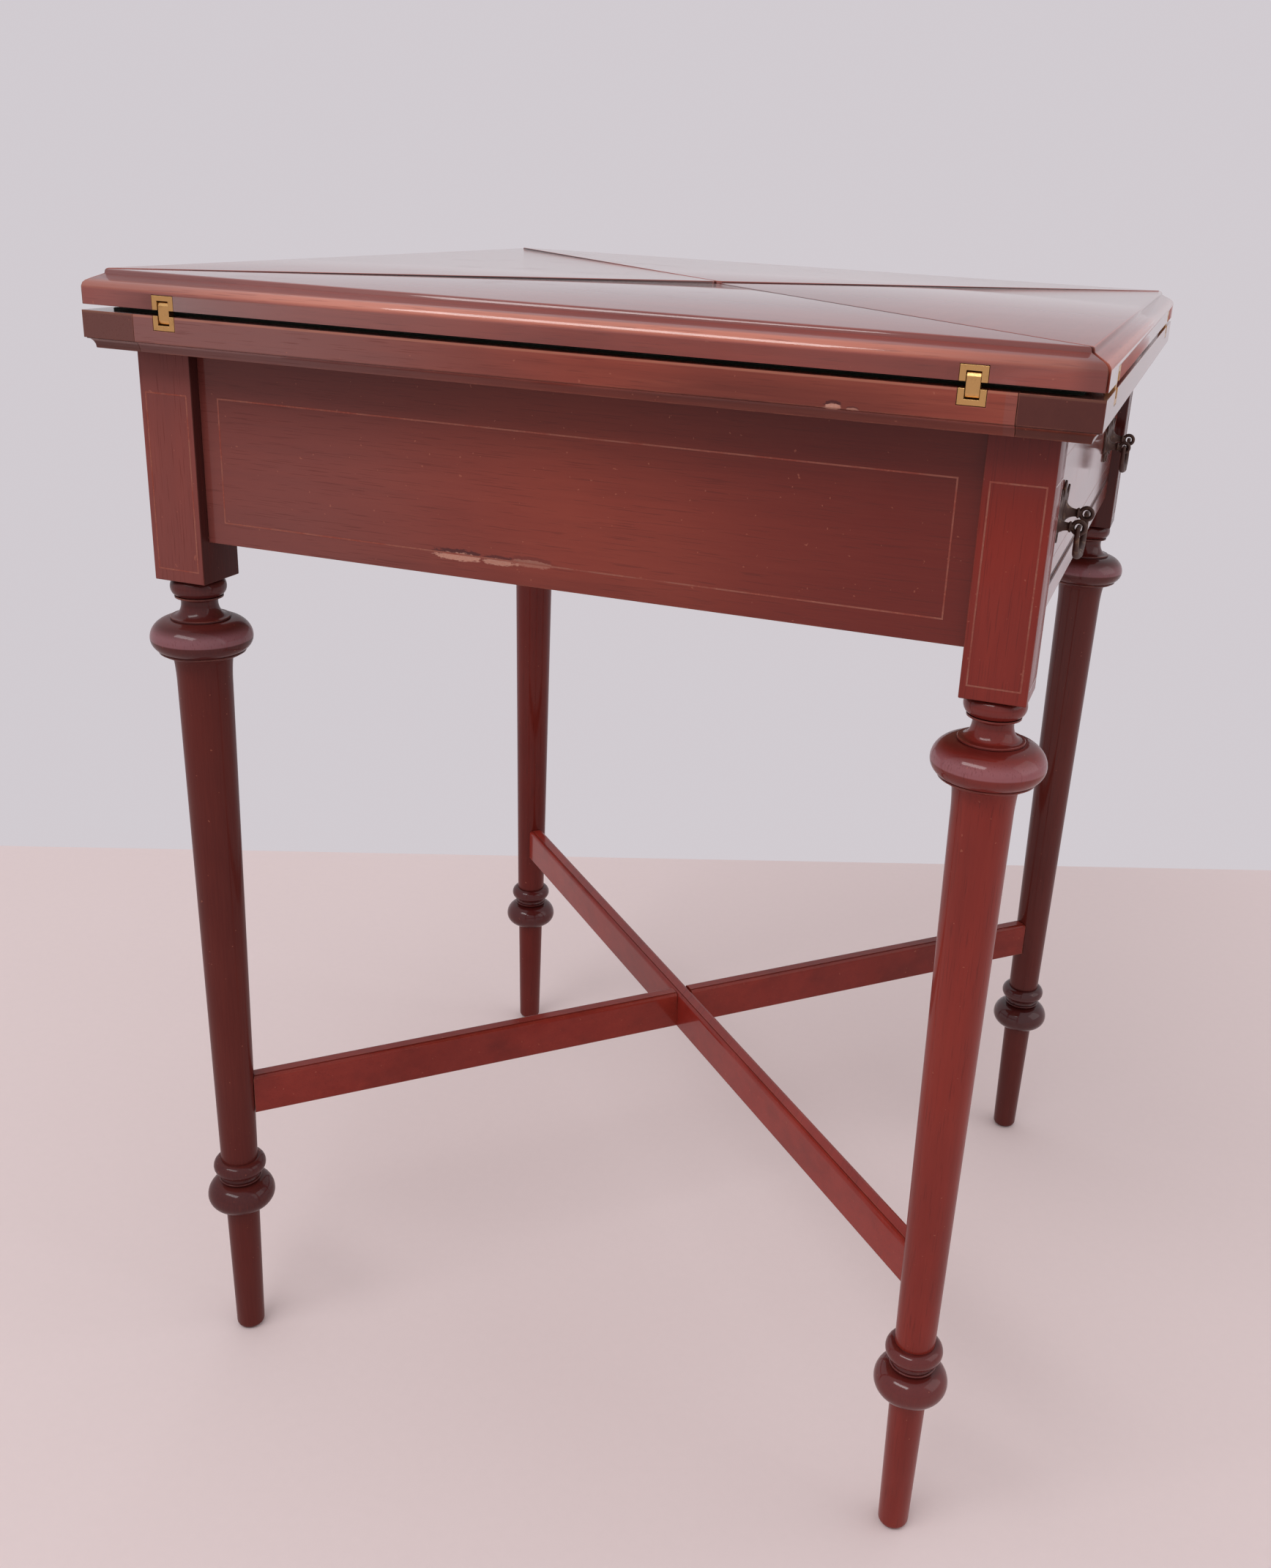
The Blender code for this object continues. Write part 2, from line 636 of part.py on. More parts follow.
def make_stretcher(name, turn_deg, over):
    """Make one stretcher rail, halved over or under the other and scribed to the legs."""
    turn = Matrix.Rotation(math.radians(turn_deg), 4, 'Z')
    bottom = STRETCHER_TOP - STRETCHER_HEIGHT
    reach = LEG_AXIS * math.sqrt(2)
    radius = shaft_radius(STRETCHER_TOP) + FITTED_GAP
    lift = Matrix.Translation((0, 0, bottom))
    item = add_part(name, outline_mesh(name, stretcher_section(), reach * 2, turn @ lift @ upright('Y')),
                    "mahogany")
    for sign in (-1, 1):
        start = turn @ Vector((sign * reach, 0, bottom - CUT_OVERRUN))
        end = turn @ Vector((sign * reach, 0, STRETCHER_TOP + CUT_OVERRUN))
        cut(item, add_cutter(name + "_scribe", rod_mesh(name, radius, start, end, SCRIBE_FACETS)))
    tenon_end = reach - radius + STRETCHER_TENON_LENGTH
    low = Vector((-tenon_end, -STRETCHER_TENON_THICKNESS / 2, bottom + STRETCHER_TENON_SHOULDER))
    high = Vector((tenon_end, STRETCHER_TENON_THICKNESS / 2, STRETCHER_TOP - STRETCHER_TENON_SHOULDER))
    tenon = box_mesh(name, low, high)
    tenon.transform(turn)
    join(item, add_cutter(name + "_tenons", tenon))
    middle = bottom + STRETCHER_HEIGHT / 2
    half = STRETCHER_WIDTH / 2 + FITTED_GAP
    notch_bottom = bottom - CUT_OVERRUN if over else middle - FITTED_GAP / 2
    notch_top = middle + FITTED_GAP / 2 if over else STRETCHER_TOP + CUT_OVERRUN
    notch = box_mesh(name, (-half, -STRETCHER_WIDTH, notch_bottom), (half, STRETCHER_WIDTH, notch_top))
    notch.transform(turn)
    cut(item, add_cutter(name + "_halving", notch))
    mortise = box_mesh(name, *grown(low, high, FITTED_GAP))
    mortise.transform(turn)
    return item, add_cutter(name + "_mortises", mortise)


# Top: base board, flaps and lining


def square_blank(name, edge):
    """Board with a moulded edge: its profile turned in four steps round a square."""
    corner = math.sqrt(2)
    top = edge[0][1]
    bottom = edge[-1][1]
    profile = [(0, top)] + [((HALF_TOP - inset) * corner, height) for inset, height in edge] + [(0, bottom)]
    mesh = turned_mesh(name, profile, 4)
    mesh.transform(Matrix.Rotation(math.radians(45), 4, 'Z'))
    return mesh


def board_edge():
    """Insets and heights of the base board's edge: a flat above a step and a hollow."""
    step_height = BOARD_TOP - BOARD_FLAT
    hollow_height = step_height - BOARD_STEP / 2
    edge = [(0, BOARD_TOP), (0, step_height), (BOARD_STEP, step_height)]
    reach = (-BOARD_HOLLOW, hollow_height - BOARD_BOTTOM)
    edge += arc((BOARD_STEP, BOARD_BOTTOM), reach, 90, 180, BEAD_STEPS)
    return edge


def flap_edge():
    """Insets and heights of the flaps' edge: a round, a hollow, a shelf and a rounded flat."""
    top = TABLE_HEIGHT
    inset = FLAP_TOP_ROUND + FLAP_HOLLOW + FLAP_SHELF + FLAP_ROUND_OVER
    edge = arc((inset, top - FLAP_TOP_ROUND), (-FLAP_TOP_ROUND, FLAP_TOP_ROUND), 90, 0)
    hollow_top = top - FLAP_TOP_ROUND
    hollow_outer = FLAP_SHELF + FLAP_ROUND_OVER
    edge += arc((hollow_outer, hollow_top), (FLAP_HOLLOW, -FLAP_HOLLOW), 0, 90, BEAD_STEPS)[1:]
    shelf = hollow_top - FLAP_HOLLOW
    reach = (-FLAP_ROUND_OVER, FLAP_ROUND_OVER)
    edge += arc((FLAP_ROUND_OVER, shelf - FLAP_ROUND_OVER), reach, 90, 0, CURVE_STEPS)
    edge.append((0, FLAP_BOTTOM))
    return edge


def front_triangle(edge_inset, border, tip):
    """Plan of a piece of the front flap, set in from its edge and from the two diagonals."""
    slant = border * math.sqrt(2)
    far = HALF_TOP - edge_inset
    return [(-(far - slant), -far), (far - slant, -far), (tip - slant, -tip), (-(tip - slant), -tip)]


def front_hinge_places():
    """Distances along the front edge at which its two hinges stand."""
    return (HINGE_A_INSET - HALF_TOP, HALF_TOP - HINGE_B_INSET)


def hinge_housings(name, surface, way):
    """Notches for the hinge plates in the front edge, above or below a board's surface."""
    half = PLATE_WIDTH / 2 + FITTED_GAP
    deep = surface + way * (PLATE_HEIGHT + FITTED_GAP)
    open_end = surface - way * CUT_OVERRUN
    meshes = []
    for place in front_hinge_places():
        low = (place - half, -HALF_TOP - CUT_OVERRUN, min(deep, open_end))
        high = (place + half, -HALF_TOP + PLATE_DEPTH + FITTED_GAP, max(deep, open_end))
        meshes.append(box_mesh(name, low, high))
    return gathered_mesh(name, meshes)


def board_panel_limits():
    """Where the base board's middle panel meets its end clamps."""
    return -HALF_TOP + LEFT_CLAMP_WIDTH, HALF_TOP - RIGHT_CLAMP_WIDTH


def tongue_box(name, grow):
    """Tongues on both edges of the base board's panel, as one bar."""
    left, right = board_panel_limits()
    middle = (BOARD_TOP + BOARD_BOTTOM) / 2
    half_length = HALF_TOP - CLAMP_TONGUE_SETBACK
    half_thickness = CLAMP_TONGUE_THICKNESS / 2
    low = (left - CLAMP_TONGUE_LENGTH, -half_length, middle - half_thickness)
    high = (right + CLAMP_TONGUE_LENGTH, half_length, middle + half_thickness)
    return box_mesh(name, *grown(low, high, grow))


def make_base_board():
    """Make the base board: a panel with a clamp across each end of its grain."""
    left, right = board_panel_limits()
    beyond = HALF_TOP + CUT_OVERRUN
    bottom = BOARD_BOTTOM - CUT_OVERRUN
    top = BOARD_TOP + CUT_OVERRUN
    spans = {
        "base_panel": (left + FITTED_GAP / 2, right - FITTED_GAP / 2),
        "base_clamp_left": (-beyond, left - FITTED_GAP / 2),
        "base_clamp_right": (right + FITTED_GAP / 2, beyond),
    }
    groove = add_cutter("clamp_grooves", tongue_box("clamp_grooves", FITTED_GAP))
    tongue = add_cutter("panel_tongues", tongue_box("panel_tongues", 0))
    margin = HALF_TOP - LINING_EDGE + FITTED_GAP
    recess = add_cutter("base_lining_recess", box_mesh(
        "base_lining_recess", (-margin, -margin, BOARD_TOP - LINING_RECESS), (margin, margin, top)))
    housings = []
    for side in SIDES:
        mesh = hinge_housings("board_housings_" + side, BOARD_TOP, -1)
        mesh.transform(quarter_turn(side))
        housings.append(add_cutter("board_housings_" + side, mesh))
    items = {}
    for name, (start, end) in spans.items():
        item = add_part(name, square_blank(name, board_edge()), "mahogany")
        combine(item, add_cutter(name + "_span", box_mesh(
            name, (start, -beyond, bottom), (end, beyond, top))), 'INTERSECT')
        if name == "base_panel":
            join(item, tongue)
        else:
            cut(item, groove)
        cut(item, recess, *housings)
        items[name] = item
    seat_top = BOARD_BOTTOM + SWIVEL_PLATE_THICKNESS + FITTED_GAP
    cut(items["base_panel"], add_cutter("swivel_plate_seat", rod_mesh(
        "swivel_plate_seat", SWIVEL_PLATE_RADIUS + FITTED_GAP, (0, 0, bottom), (0, 0, seat_top), ROUND_FACETS)))
    return items


def make_base_lining():
    """Make the cloth square let into the base board."""
    half = HALF_TOP - LINING_EDGE
    bottom = BOARD_TOP - LINING_RECESS + FITTED_GAP
    mesh = box_mesh("base_lining", (-half, -half, bottom), (half, half, BOARD_TOP + LINING_PROUD))
    return add_part("base_lining", mesh, "baize")


def make_flaps():
    """Make the four flaps and the cloth let into their undersides."""
    name = "flap_front_shape"
    item = add_cutter(name, square_blank(name, flap_edge()))
    middle = (TABLE_HEIGHT + FLAP_BOTTOM) / 2
    depth = FLAP_THICKNESS + CUT_OVERRUN * 2
    plan = front_triangle(-CUT_OVERRUN, DIAGONAL_GAP / 2, FLAP_TIP_SETBACK)
    wedge = outline_mesh("flap_plan", plan, depth, Matrix.Translation((0, 0, middle)))
    combine(item, add_cutter("flap_plan", wedge), 'INTERSECT')
    cut(item, add_cutter("flap_housings", hinge_housings("flap_housings", FLAP_BOTTOM, 1)))
    border = LINING_BORDER - FITTED_GAP
    tip = (LINING_BORDER + LINING_EDGE) * math.sqrt(2)
    recess_plan = front_triangle(LINING_EDGE - FITTED_GAP, border, tip - FITTED_GAP)
    recess_middle = FLAP_BOTTOM + LINING_RECESS - CUT_OVERRUN / 2
    recess = outline_mesh("flap_lining_recess", recess_plan, CUT_OVERRUN,
                          Matrix.Translation((0, 0, recess_middle)))
    cut(item, add_cutter("flap_lining_recess", recess))
    flap = settled_mesh(item)
    cloth_thickness = LINING_RECESS - FITTED_GAP + LINING_PROUD
    cloth_middle = FLAP_BOTTOM - LINING_PROUD + cloth_thickness / 2
    cloth = outline_mesh("flap_lining_shape", front_triangle(LINING_EDGE, LINING_BORDER, tip),
                         cloth_thickness, Matrix.Translation((0, 0, cloth_middle)))
    items = {}
    for side in SIDES:
        shapes = {"flap_": (flap, "mahogany"), "flap_lining_": (cloth, "baize")}
        for start, (shape, finish) in shapes.items():
            mesh = shape.copy()
            mesh.transform(quarter_turn(side))
            items[start + side] = add_part(start + side, mesh, finish)
    return items


# Link hinges


def link_slot():
    """Half-width of the slot in a plate and the depth of its round bottom below the middle of the gap."""
    return LINK_WIDTH / 2 + LINK_CLEARANCE, PIN_FROM_MIDDLE + LINK_END_RADIUS + LINK_CLEARANCE


def plate_mesh(name, place, surface, way):
    """One slotted hinge plate, drilled for its pin, above or below a board's surface."""
    slot_half, slot_depth = link_slot()
    half = PLATE_WIDTH / 2
    far = surface + way * PLATE_HEIGHT
    slot_end = HINGE_MIDDLE + way * slot_depth
    outline = [
        (place - half, surface), (place - half, far), (place + half, far), (place + half, surface),
        (place + slot_half, surface), (place + slot_half, slot_end),
        (place - slot_half, slot_end), (place - slot_half, surface),
    ]
    lift = Matrix.Translation((0, -HALF_TOP + PLATE_DEPTH / 2, 0))
    item = add_cutter(name, outline_mesh(name, outline, PLATE_DEPTH, lift @ upright('X')))
    pin_height = HINGE_MIDDLE + way * PIN_FROM_MIDDLE
    depth = -HALF_TOP + PIN_DEPTH
    hole = rod_mesh(name, PIN_RADIUS + LINK_CLEARANCE, (place - half - CUT_OVERRUN, depth, pin_height),
                    (place + half + CUT_OVERRUN, depth, pin_height), PIN_FACETS)
    hole_tool = add_cutter(name + "_hole", hole)
    cut(item, hole_tool)
    mesh = settled_mesh(item)
    bpy.data.objects.remove(hole_tool)
    return mesh


def link_mesh(name, place):
    """One link: a bar with round ends and a pin through each end."""
    depth = -HALF_TOP + PIN_DEPTH
    ends = (HINGE_MIDDLE + PIN_FROM_MIDDLE, HINGE_MIDDLE - PIN_FROM_MIDDLE)
    reach = (LINK_END_RADIUS, LINK_END_RADIUS)
    outline = arc((depth, ends[0]), reach, 0, 180, BEAD_STEPS)
    outline += arc((depth, ends[1]), reach, 180, 360, BEAD_STEPS)
    item = add_cutter(name, outline_mesh(name, outline, LINK_WIDTH,
                                         Matrix.Translation((place, 0, 0)) @ upright('Y')))
    pins = []
    for height in ends:
        start = (place - PIN_LENGTH / 2, depth, height)
        end = (place + PIN_LENGTH / 2, depth, height)
        pins.append(add_cutter(name + "_pin", rod_mesh(name, PIN_RADIUS, start, end, PIN_FACETS)))
    join(item, *pins)
    mesh = settled_mesh(item)
    for pin in pins:
        bpy.data.objects.remove(pin)
    return mesh


def make_hinges():
    """Make the plates let into the board and the flaps, and the links that join them."""
    items = {}
    for hand, place in zip(HANDS, front_hinge_places()):
        shapes = {
            "hinge_board_plate": plate_mesh("board_plate", place, BOARD_TOP, -1),
            "hinge_flap_plate": plate_mesh("flap_plate", place, FLAP_BOTTOM, 1),
            "hinge_link": link_mesh("link", place),
        }
        for start, shape in shapes.items():
            for side in SIDES:
                name = "_".join((start, side, hand))
                mesh = shape.copy()
                mesh.transform(quarter_turn(side))
                items[start, side, hand] = add_part(name, mesh, "bright_brass")
    return items


# Swivel


def stop_pin_place():
    """Place of the stop pin, which rests against one end of its curved slot."""
    angle = math.radians(-TOP_TURN_DEG / 2)
    return STOP_PIN_PLACE * math.cos(angle), STOP_PIN_PLACE * math.sin(angle)


def stop_slot_outline():
    """Plan of the curved slot in which the stop pin travels."""
    wide = STOP_PIN_RADIUS + STOP_SLOT_CLEARANCE
    half = TOP_TURN_DEG / 2
    outline = arc((0, 0), (STOP_PIN_PLACE + wide, STOP_PIN_PLACE + wide), -half, half, SLOT_STEPS)
    for sign in (1, -1):
        angle = math.radians(sign * half)
        centre = (STOP_PIN_PLACE * math.cos(angle), STOP_PIN_PLACE * math.sin(angle))
        start = half if sign > 0 else 180 - half
        outline += arc(centre, (wide, wide), start, start + 180, SLOT_STEPS)[1:-1]
        if sign > 0:
            inner = STOP_PIN_PLACE - wide
            outline += arc((0, 0), (inner, inner), half, -half, SLOT_STEPS)
    return outline


def make_bearer():
    """Make the cross bearer that holds the stud, with its slot for the stop pin and its housings."""
    reach = APRON_INNER + BEARER_HOUSING
    half = BEARER_WIDTH / 2
    low = (-half, -reach, BEARER_BOTTOM)
    high = (half, reach, STAND_TOP)
    item = add_part("pivot_bearer", box_mesh("pivot_bearer", low, high), "inside_wood")
    hole = rod_mesh("stud_hole", STUD_RADIUS + STUD_CLEARANCE, (0, 0, BEARER_BOTTOM - CUT_OVERRUN),
                    (0, 0, STAND_TOP + CUT_OVERRUN), ROUND_FACETS)
    middle = (BEARER_BOTTOM + STAND_TOP) / 2
    slot = outline_mesh("stop_slot", stop_slot_outline(), BEARER_THICKNESS + CUT_OVERRUN,
                        Matrix.Translation((0, 0, middle)))
    cut(item, add_cutter("stud_hole", hole), add_cutter("stop_slot", slot))
    housing_low, housing_high = grown(low, high, FITTED_GAP)
    housing_high.z += CUT_OVERRUN
    housing = add_cutter("bearer_housings", box_mesh("bearer_housings", housing_low, housing_high))
    return item, housing


def make_swivel():
    """Make the stud on its round plate, with the stop pin and the washer riveted on below the bearer."""
    plate_top = BOARD_BOTTOM + SWIVEL_PLATE_THICKNESS
    washer_top = BEARER_BOTTOM - FITTED_GAP
    washer_bottom = washer_top - WASHER_THICKNESS
    profile = [(0, plate_top), (SWIVEL_PLATE_RADIUS, plate_top), (SWIVEL_PLATE_RADIUS, BOARD_BOTTOM),
               (STUD_RADIUS, BOARD_BOTTOM), (STUD_RADIUS, washer_top), (WASHER_RADIUS, washer_top),
               (WASHER_RADIUS, washer_bottom)]
    profile += arc((0, washer_bottom), (RIVET_RADIUS, RIVET_HEIGHT), 0, -90, CURVE_STEPS)
    stud = add_part("pivot_stud", turned_mesh("pivot_stud", profile, ROUND_FACETS), "black_iron")
    place = stop_pin_place()
    pin = rod_mesh("stop_pin", STOP_PIN_RADIUS, (*place, BOARD_BOTTOM - STOP_PIN_LENGTH),
                   (*place, BOARD_BOTTOM + SWIVEL_PLATE_THICKNESS / 2), ROUND_FACETS)
    join(stud, add_cutter("stop_pin", pin))
    shade_round(stud)
    return stud


# Drawer and what guides it


def tail_outlines(grow):
    """Side outlines of the dovetails that join a drawer side to the drawer front."""
    height = DRAWER_SIDE_TOP - DRAWER_FRONT_BOTTOM
    start = DRAWER_FRONT_BACK
    outlines = []
    for index in range(TAIL_COUNT):
        middle = DRAWER_FRONT_BOTTOM + height * (index * 2 + 1) / (TAIL_COUNT * 2)
        root = TAIL_ROOT_WIDTH / 2 + grow
        end = TAIL_END_WIDTH / 2 + grow
        outlines.append([
            (start - TAIL_LENGTH, middle - root), (start, middle - root),
            (start + TAIL_LENGTH + grow, middle - end), (start + TAIL_LENGTH + grow, middle + end),
            (start, middle + root), (start - TAIL_LENGTH, middle + root),
        ])
    return outlines


def tails_mesh(name, sign, grow):
    """The dovetails of one drawer side, or their sockets when grown."""
    inner = DRAWER_INNER - grow
    outer = DRAWER_HALF_WIDTH + (CUT_OVERRUN if grow else 0)
    middle = sign * (inner + outer) / 2
    place = Matrix.Translation((0, middle, 0)) @ upright('X')
    return gathered_mesh(name, [outline_mesh(name, outline, outer - inner, place)
                                for outline in tail_outlines(grow)])


def make_drawer_box():
    """Make the drawer: a front with lapped dovetails, two sides, a back and a bottom in grooves."""
    front = add_part("drawer_front", box_mesh(
        "drawer_front", (DRAWER_FRONT_BACK, -DRAWER_HALF_WIDTH, DRAWER_FRONT_BOTTOM),
        (APRON_OUTER, DRAWER_HALF_WIDTH, DRAWER_FRONT_TOP)), "mahogany")
    groove_reach = DRAWER_INNER + DRAWER_GROOVE_DEPTH
    panel_low = (DRAWER_END, -groove_reach + FITTED_GAP, DRAWER_BOTTOM_UNDERSIDE)
    panel_high = (DRAWER_FRONT_BACK + DRAWER_GROOVE_DEPTH, groove_reach - FITTED_GAP,
                  DRAWER_BOTTOM_UNDERSIDE + DRAWER_BOTTOM_THICKNESS)
    bottom = add_part("drawer_bottom", box_mesh("drawer_bottom", panel_low, panel_high), "drawer_wood")
    groove_low, groove_high = grown(panel_low, panel_high, FITTED_GAP)
    groove_low.x -= CUT_OVERRUN
    groove = add_cutter("drawer_groove", box_mesh("drawer_groove", groove_low, groove_high))
    back_start = DRAWER_END + DRAWER_BACK_SETBACK
    back_low = (back_start, -groove_reach + FITTED_GAP, groove_high.z)
    back_high = (back_start + DRAWER_BACK_THICKNESS, groove_reach - FITTED_GAP,
                 DRAWER_SIDE_TOP - DRAWER_BACK_LOWERED)
    back = add_part("drawer_back", box_mesh("drawer_back", back_low, back_high), "drawer_wood")
    housing_low, housing_high = grown(back_low, back_high, FITTED_GAP)
    housing_high.z += DRAWER_BACK_LOWERED + CUT_OVERRUN
    housing = add_cutter("drawer_back_housing", box_mesh("drawer_back_housing", housing_low, housing_high))
    cut(front, groove)
    items = {"drawer_front": front, "drawer_bottom": bottom, "drawer_back": back}
    for name, sign in (("drawer_side_near", -1), ("drawer_side_far", 1)):
        edges = sorted((sign * DRAWER_INNER, sign * DRAWER_HALF_WIDTH))
        item = add_part(name, box_mesh(name, (DRAWER_END, edges[0], DRAWER_FLOOR),
                                       (DRAWER_FRONT_BACK - FITTED_GAP, edges[1], DRAWER_SIDE_TOP)),
                        "drawer_wood")
        join(item, add_cutter(name + "_tails", tails_mesh(name, sign, 0)))
        cut(item, groove, housing)
        cut(front, add_cutter(name + "_sockets", tails_mesh(name, sign, FITTED_GAP)))
        items[name] = item
    return items


def make_guides():
    """Make the channel on each side of the drawer: its runner, guide and kicker."""
    fixed = APRON_INNER - FITTED_GAP
    clear = HEAD_INNER - FITTED_GAP
    overlap = FITTED_GAP * 2
    for name, sign in (("near", -1), ("far", 1)):
        edges = sorted((sign * fixed, sign * (fixed - RUNNER_WIDTH)))
        bar = box_mesh("runner", (-fixed, edges[0], APRON_BOTTOM), (fixed, edges[1], LOWER_RAIL_TOP))
        channel = add_part("drawer_channel_" + name, bar, "inside_wood")
        for way in (-1, 1):
            ends = sorted((way * clear, way * (fixed + CUT_OVERRUN)))
            widths = sorted((sign * clear, sign * (fixed + CUT_OVERRUN)))
            cut(channel, add_cutter("head_notch", box_mesh(
                "head_notch", (ends[0], widths[0], APRON_BOTTOM - CUT_OVERRUN),
                (ends[1], widths[1], LOWER_RAIL_TOP + CUT_OVERRUN))))
        edges = sorted((sign * fixed, sign * (fixed - KICKER_WIDTH)))
        kicker = box_mesh("kicker", (-clear, edges[0], KICKER_BOTTOM), (clear, edges[1], KICKER_TOP))
        edges = sorted((sign * fixed, sign * (DRAWER_HALF_WIDTH + DRAWER_GAP + GUIDE_INSET)))
        guide = box_mesh("guide", (-clear, edges[0], LOWER_RAIL_TOP - overlap),
                         (clear, edges[1], KICKER_BOTTOM + overlap))
        join(channel, add_cutter("drawer_kicker", kicker), add_cutter("drawer_guide", guide))


def make_drawer_stops(apron):
    """Join the two blocks that stop the drawer to the inside of the left apron."""
    side_middle = (DRAWER_INNER + DRAWER_HALF_WIDTH) / 2
    bottom = DRAWER_FLOOR + DRAWER_STOP_LIFT
    for sign in (-1, 1):
        middle = sign * side_middle
        low = (-APRON_INNER - DRAWER_STOP_THICKNESS, middle - DRAWER_STOP_WIDTH / 2, bottom)
        high = (DRAWER_END - FITTED_GAP, middle + DRAWER_STOP_WIDTH / 2, bottom + DRAWER_STOP_HEIGHT)
        join(apron, add_cutter("drawer_stop", box_mesh("drawer_stop", low, high)))


# Bail handles


def handle_plate_outline():
    """Outline of the shaped back plate, mirrored about its middle."""
    half_width = HANDLE_PLATE_WIDTH / 2
    half_height = HANDLE_PLATE_HEIGHT / 2
    half = [(across * half_width, up * half_height) for across, up in HANDLE_PLATE_OUTLINE_SHARES]
    return half + [(-across, up) for across, up in reversed(half[1:-1])]


def post_shapes(name, place):
    """One post: shank, collar and stem, its eye in which the bail swings, and its nut."""
    seat = APRON_OUTER + FITTED_GAP + HANDLE_PLATE_THICKNESS / 2
    collar_end = APRON_OUTER + FITTED_GAP + HANDLE_PLATE_THICKNESS + POST_COLLAR_THICKNESS
    nut_top = DRAWER_FRONT_BACK - FITTED_GAP
    nut_bottom = nut_top - HANDLE_NUT_THICKNESS
    shank_end = nut_bottom - SHANK_TAIL
    eye = APRON_OUTER + EYE_REACH
    stem_end = eye - EYE_MAJOR_RADIUS
    profile = [(0, stem_end), (EYE_MINOR_RADIUS, stem_end), (POST_RADIUS, collar_end),
               (POST_COLLAR_RADIUS, collar_end), (POST_COLLAR_RADIUS, seat), (SHANK_RADIUS, seat),
               (SHANK_RADIUS, nut_top), (HANDLE_NUT_RADIUS, nut_top), (HANDLE_NUT_RADIUS, nut_bottom),
               (SHANK_RADIUS, nut_bottom), (SHANK_RADIUS, shank_end), (0, shank_end)]
    post = turned_mesh(name, profile, POST_FACETS)
    lay_along_x = Matrix.Rotation(math.radians(90), 4, 'Y')
    post.transform(Matrix.Translation((0, place, EYE_HEIGHT)) @ lay_along_x)
    bpy.ops.mesh.primitive_torus_add(
        major_segments=RING_FACETS, minor_segments=RING_SIDE_FACETS, major_radius=EYE_MAJOR_RADIUS,
        minor_radius=EYE_MINOR_RADIUS, location=(eye, place, EYE_HEIGHT), rotation=(math.radians(90), 0, 0))
    ring = settled_mesh(bpy.context.object)
    return add_cutter(name, post), add_cutter(name + "_eye", ring)


def bail_mesh(name, middle):
    """The swinging bail: a drooping bow whose ends turn in through the two eyes."""
    eye = APRON_OUTER + EYE_REACH
    half = EYE_SPACING / 2
    corner = half + BAIL_OVERHANG
    path = [(-(half - BAIL_PIN_INNER), 0)]
    for step in range(BAIL_STEPS + 1):
        angle = math.pi * step / BAIL_STEPS
        droop = math.sin(angle) ** 0.62
        path.append((-corner * math.cos(angle), -BAIL_DROP * droop))
    path.append((half - BAIL_PIN_INNER, 0))
    curve = bpy.data.curves.new(name, 'CURVE')
    curve.dimensions = '3D'
    curve.bevel_depth = BAIL_MIDDLE_RADIUS
    curve.bevel_resolution = BAIL_BEVEL_STEPS
    curve.use_fill_caps = True
    line = curve.splines.new('POLY')
    line.points.add(len(path) - 1)
    end_share = BAIL_END_RADIUS / BAIL_MIDDLE_RADIUS
    for point, (across, up) in zip(line.points, path):
        point.co = (eye, middle + across, EYE_HEIGHT + up, 1)
        point.radius = end_share + (1 - end_share) * max(0.0, -up / BAIL_DROP) ** 2
    return settled_mesh(add_cutter(name, curve))


def welded(mesh):
    """Weld the loose caps of a mesh that came from a curve."""
    shape = bmesh.new()
    shape.from_mesh(mesh)
    bmesh.ops.remove_doubles(shape, verts=shape.verts, dist=WELD_DISTANCE)
    bmesh.ops.recalc_face_normals(shape, faces=shape.faces)
    return mesh_from(mesh.name, shape)


def make_handles(front):
    """Make both bail handles and drill the drawer front for their shanks."""
    items = {}
    hole_radius = SHANK_RADIUS + FITTED_GAP
    for name, sign in (("near", -1), ("far", 1)):
        middle = sign * HANDLE_PLACE
        plate_x = APRON_OUTER + FITTED_GAP + HANDLE_PLATE_THICKNESS / 2
        place = Matrix.Translation((plate_x, middle, EYE_HEIGHT + EYE_DROP)) @ upright('Y')
        plate = add_part("handle_plate_" + name, outline_mesh(
            "handle_plate", handle_plate_outline(), HANDLE_PLATE_THICKNESS, place), "aged_bronze")
        for way in (-1, 1):
            across = middle + way * EYE_SPACING / 2
            join(plate, *post_shapes("handle_post", across))
            start = (DRAWER_FRONT_BACK - CUT_OVERRUN, across, EYE_HEIGHT)
            end = (APRON_OUTER + CUT_OVERRUN, across, EYE_HEIGHT)
            cut(front, add_cutter("handle_hole", rod_mesh("handle_hole", hole_radius, start, end, POST_FACETS)))
        bail = add_part("handle_bail_" + name, welded(bail_mesh("bail", middle)), "aged_bronze")
        shade_round(plate)
        shade_round(bail)
        items["handle_plate_" + name] = plate
        items["handle_bail_" + name] = bail
    return items


# Assembly


def make_stand():
    """Make the fixed stand: frame, stretcher, legs, bearer and the drawer's guides."""
    items, mortises = make_frame()
    bearer, housing = make_bearer()
    cut(items["apron_front"], housing)
    cut(items["apron_back"], housing)
    _, mortises["rising"] = make_stretcher("stretcher_rail_under", 45, False)
    _, mortises["falling"] = make_stretcher("stretcher_rail_over", -45, True)
    legs = {
        "leg_front_left": (-1, -1, ("apron_front", "apron_left", "rising")),
        "leg_front_right": (1, -1, ("apron_front", "drawer_rail_lower", "drawer_rail_upper", "falling")),
        "leg_back_left": (-1, 1, ("apron_back", "apron_left", "falling")),
        "leg_back_right": (1, 1, ("apron_back", "drawer_rail_lower", "drawer_rail_upper", "rising")),
    }
    for name, (side_x, side_y, joints) in legs.items():
        make_leg(name, side_x, side_y, [mortises[joint] for joint in joints])
    make_guides()
    make_drawer_stops(items["apron_left"])


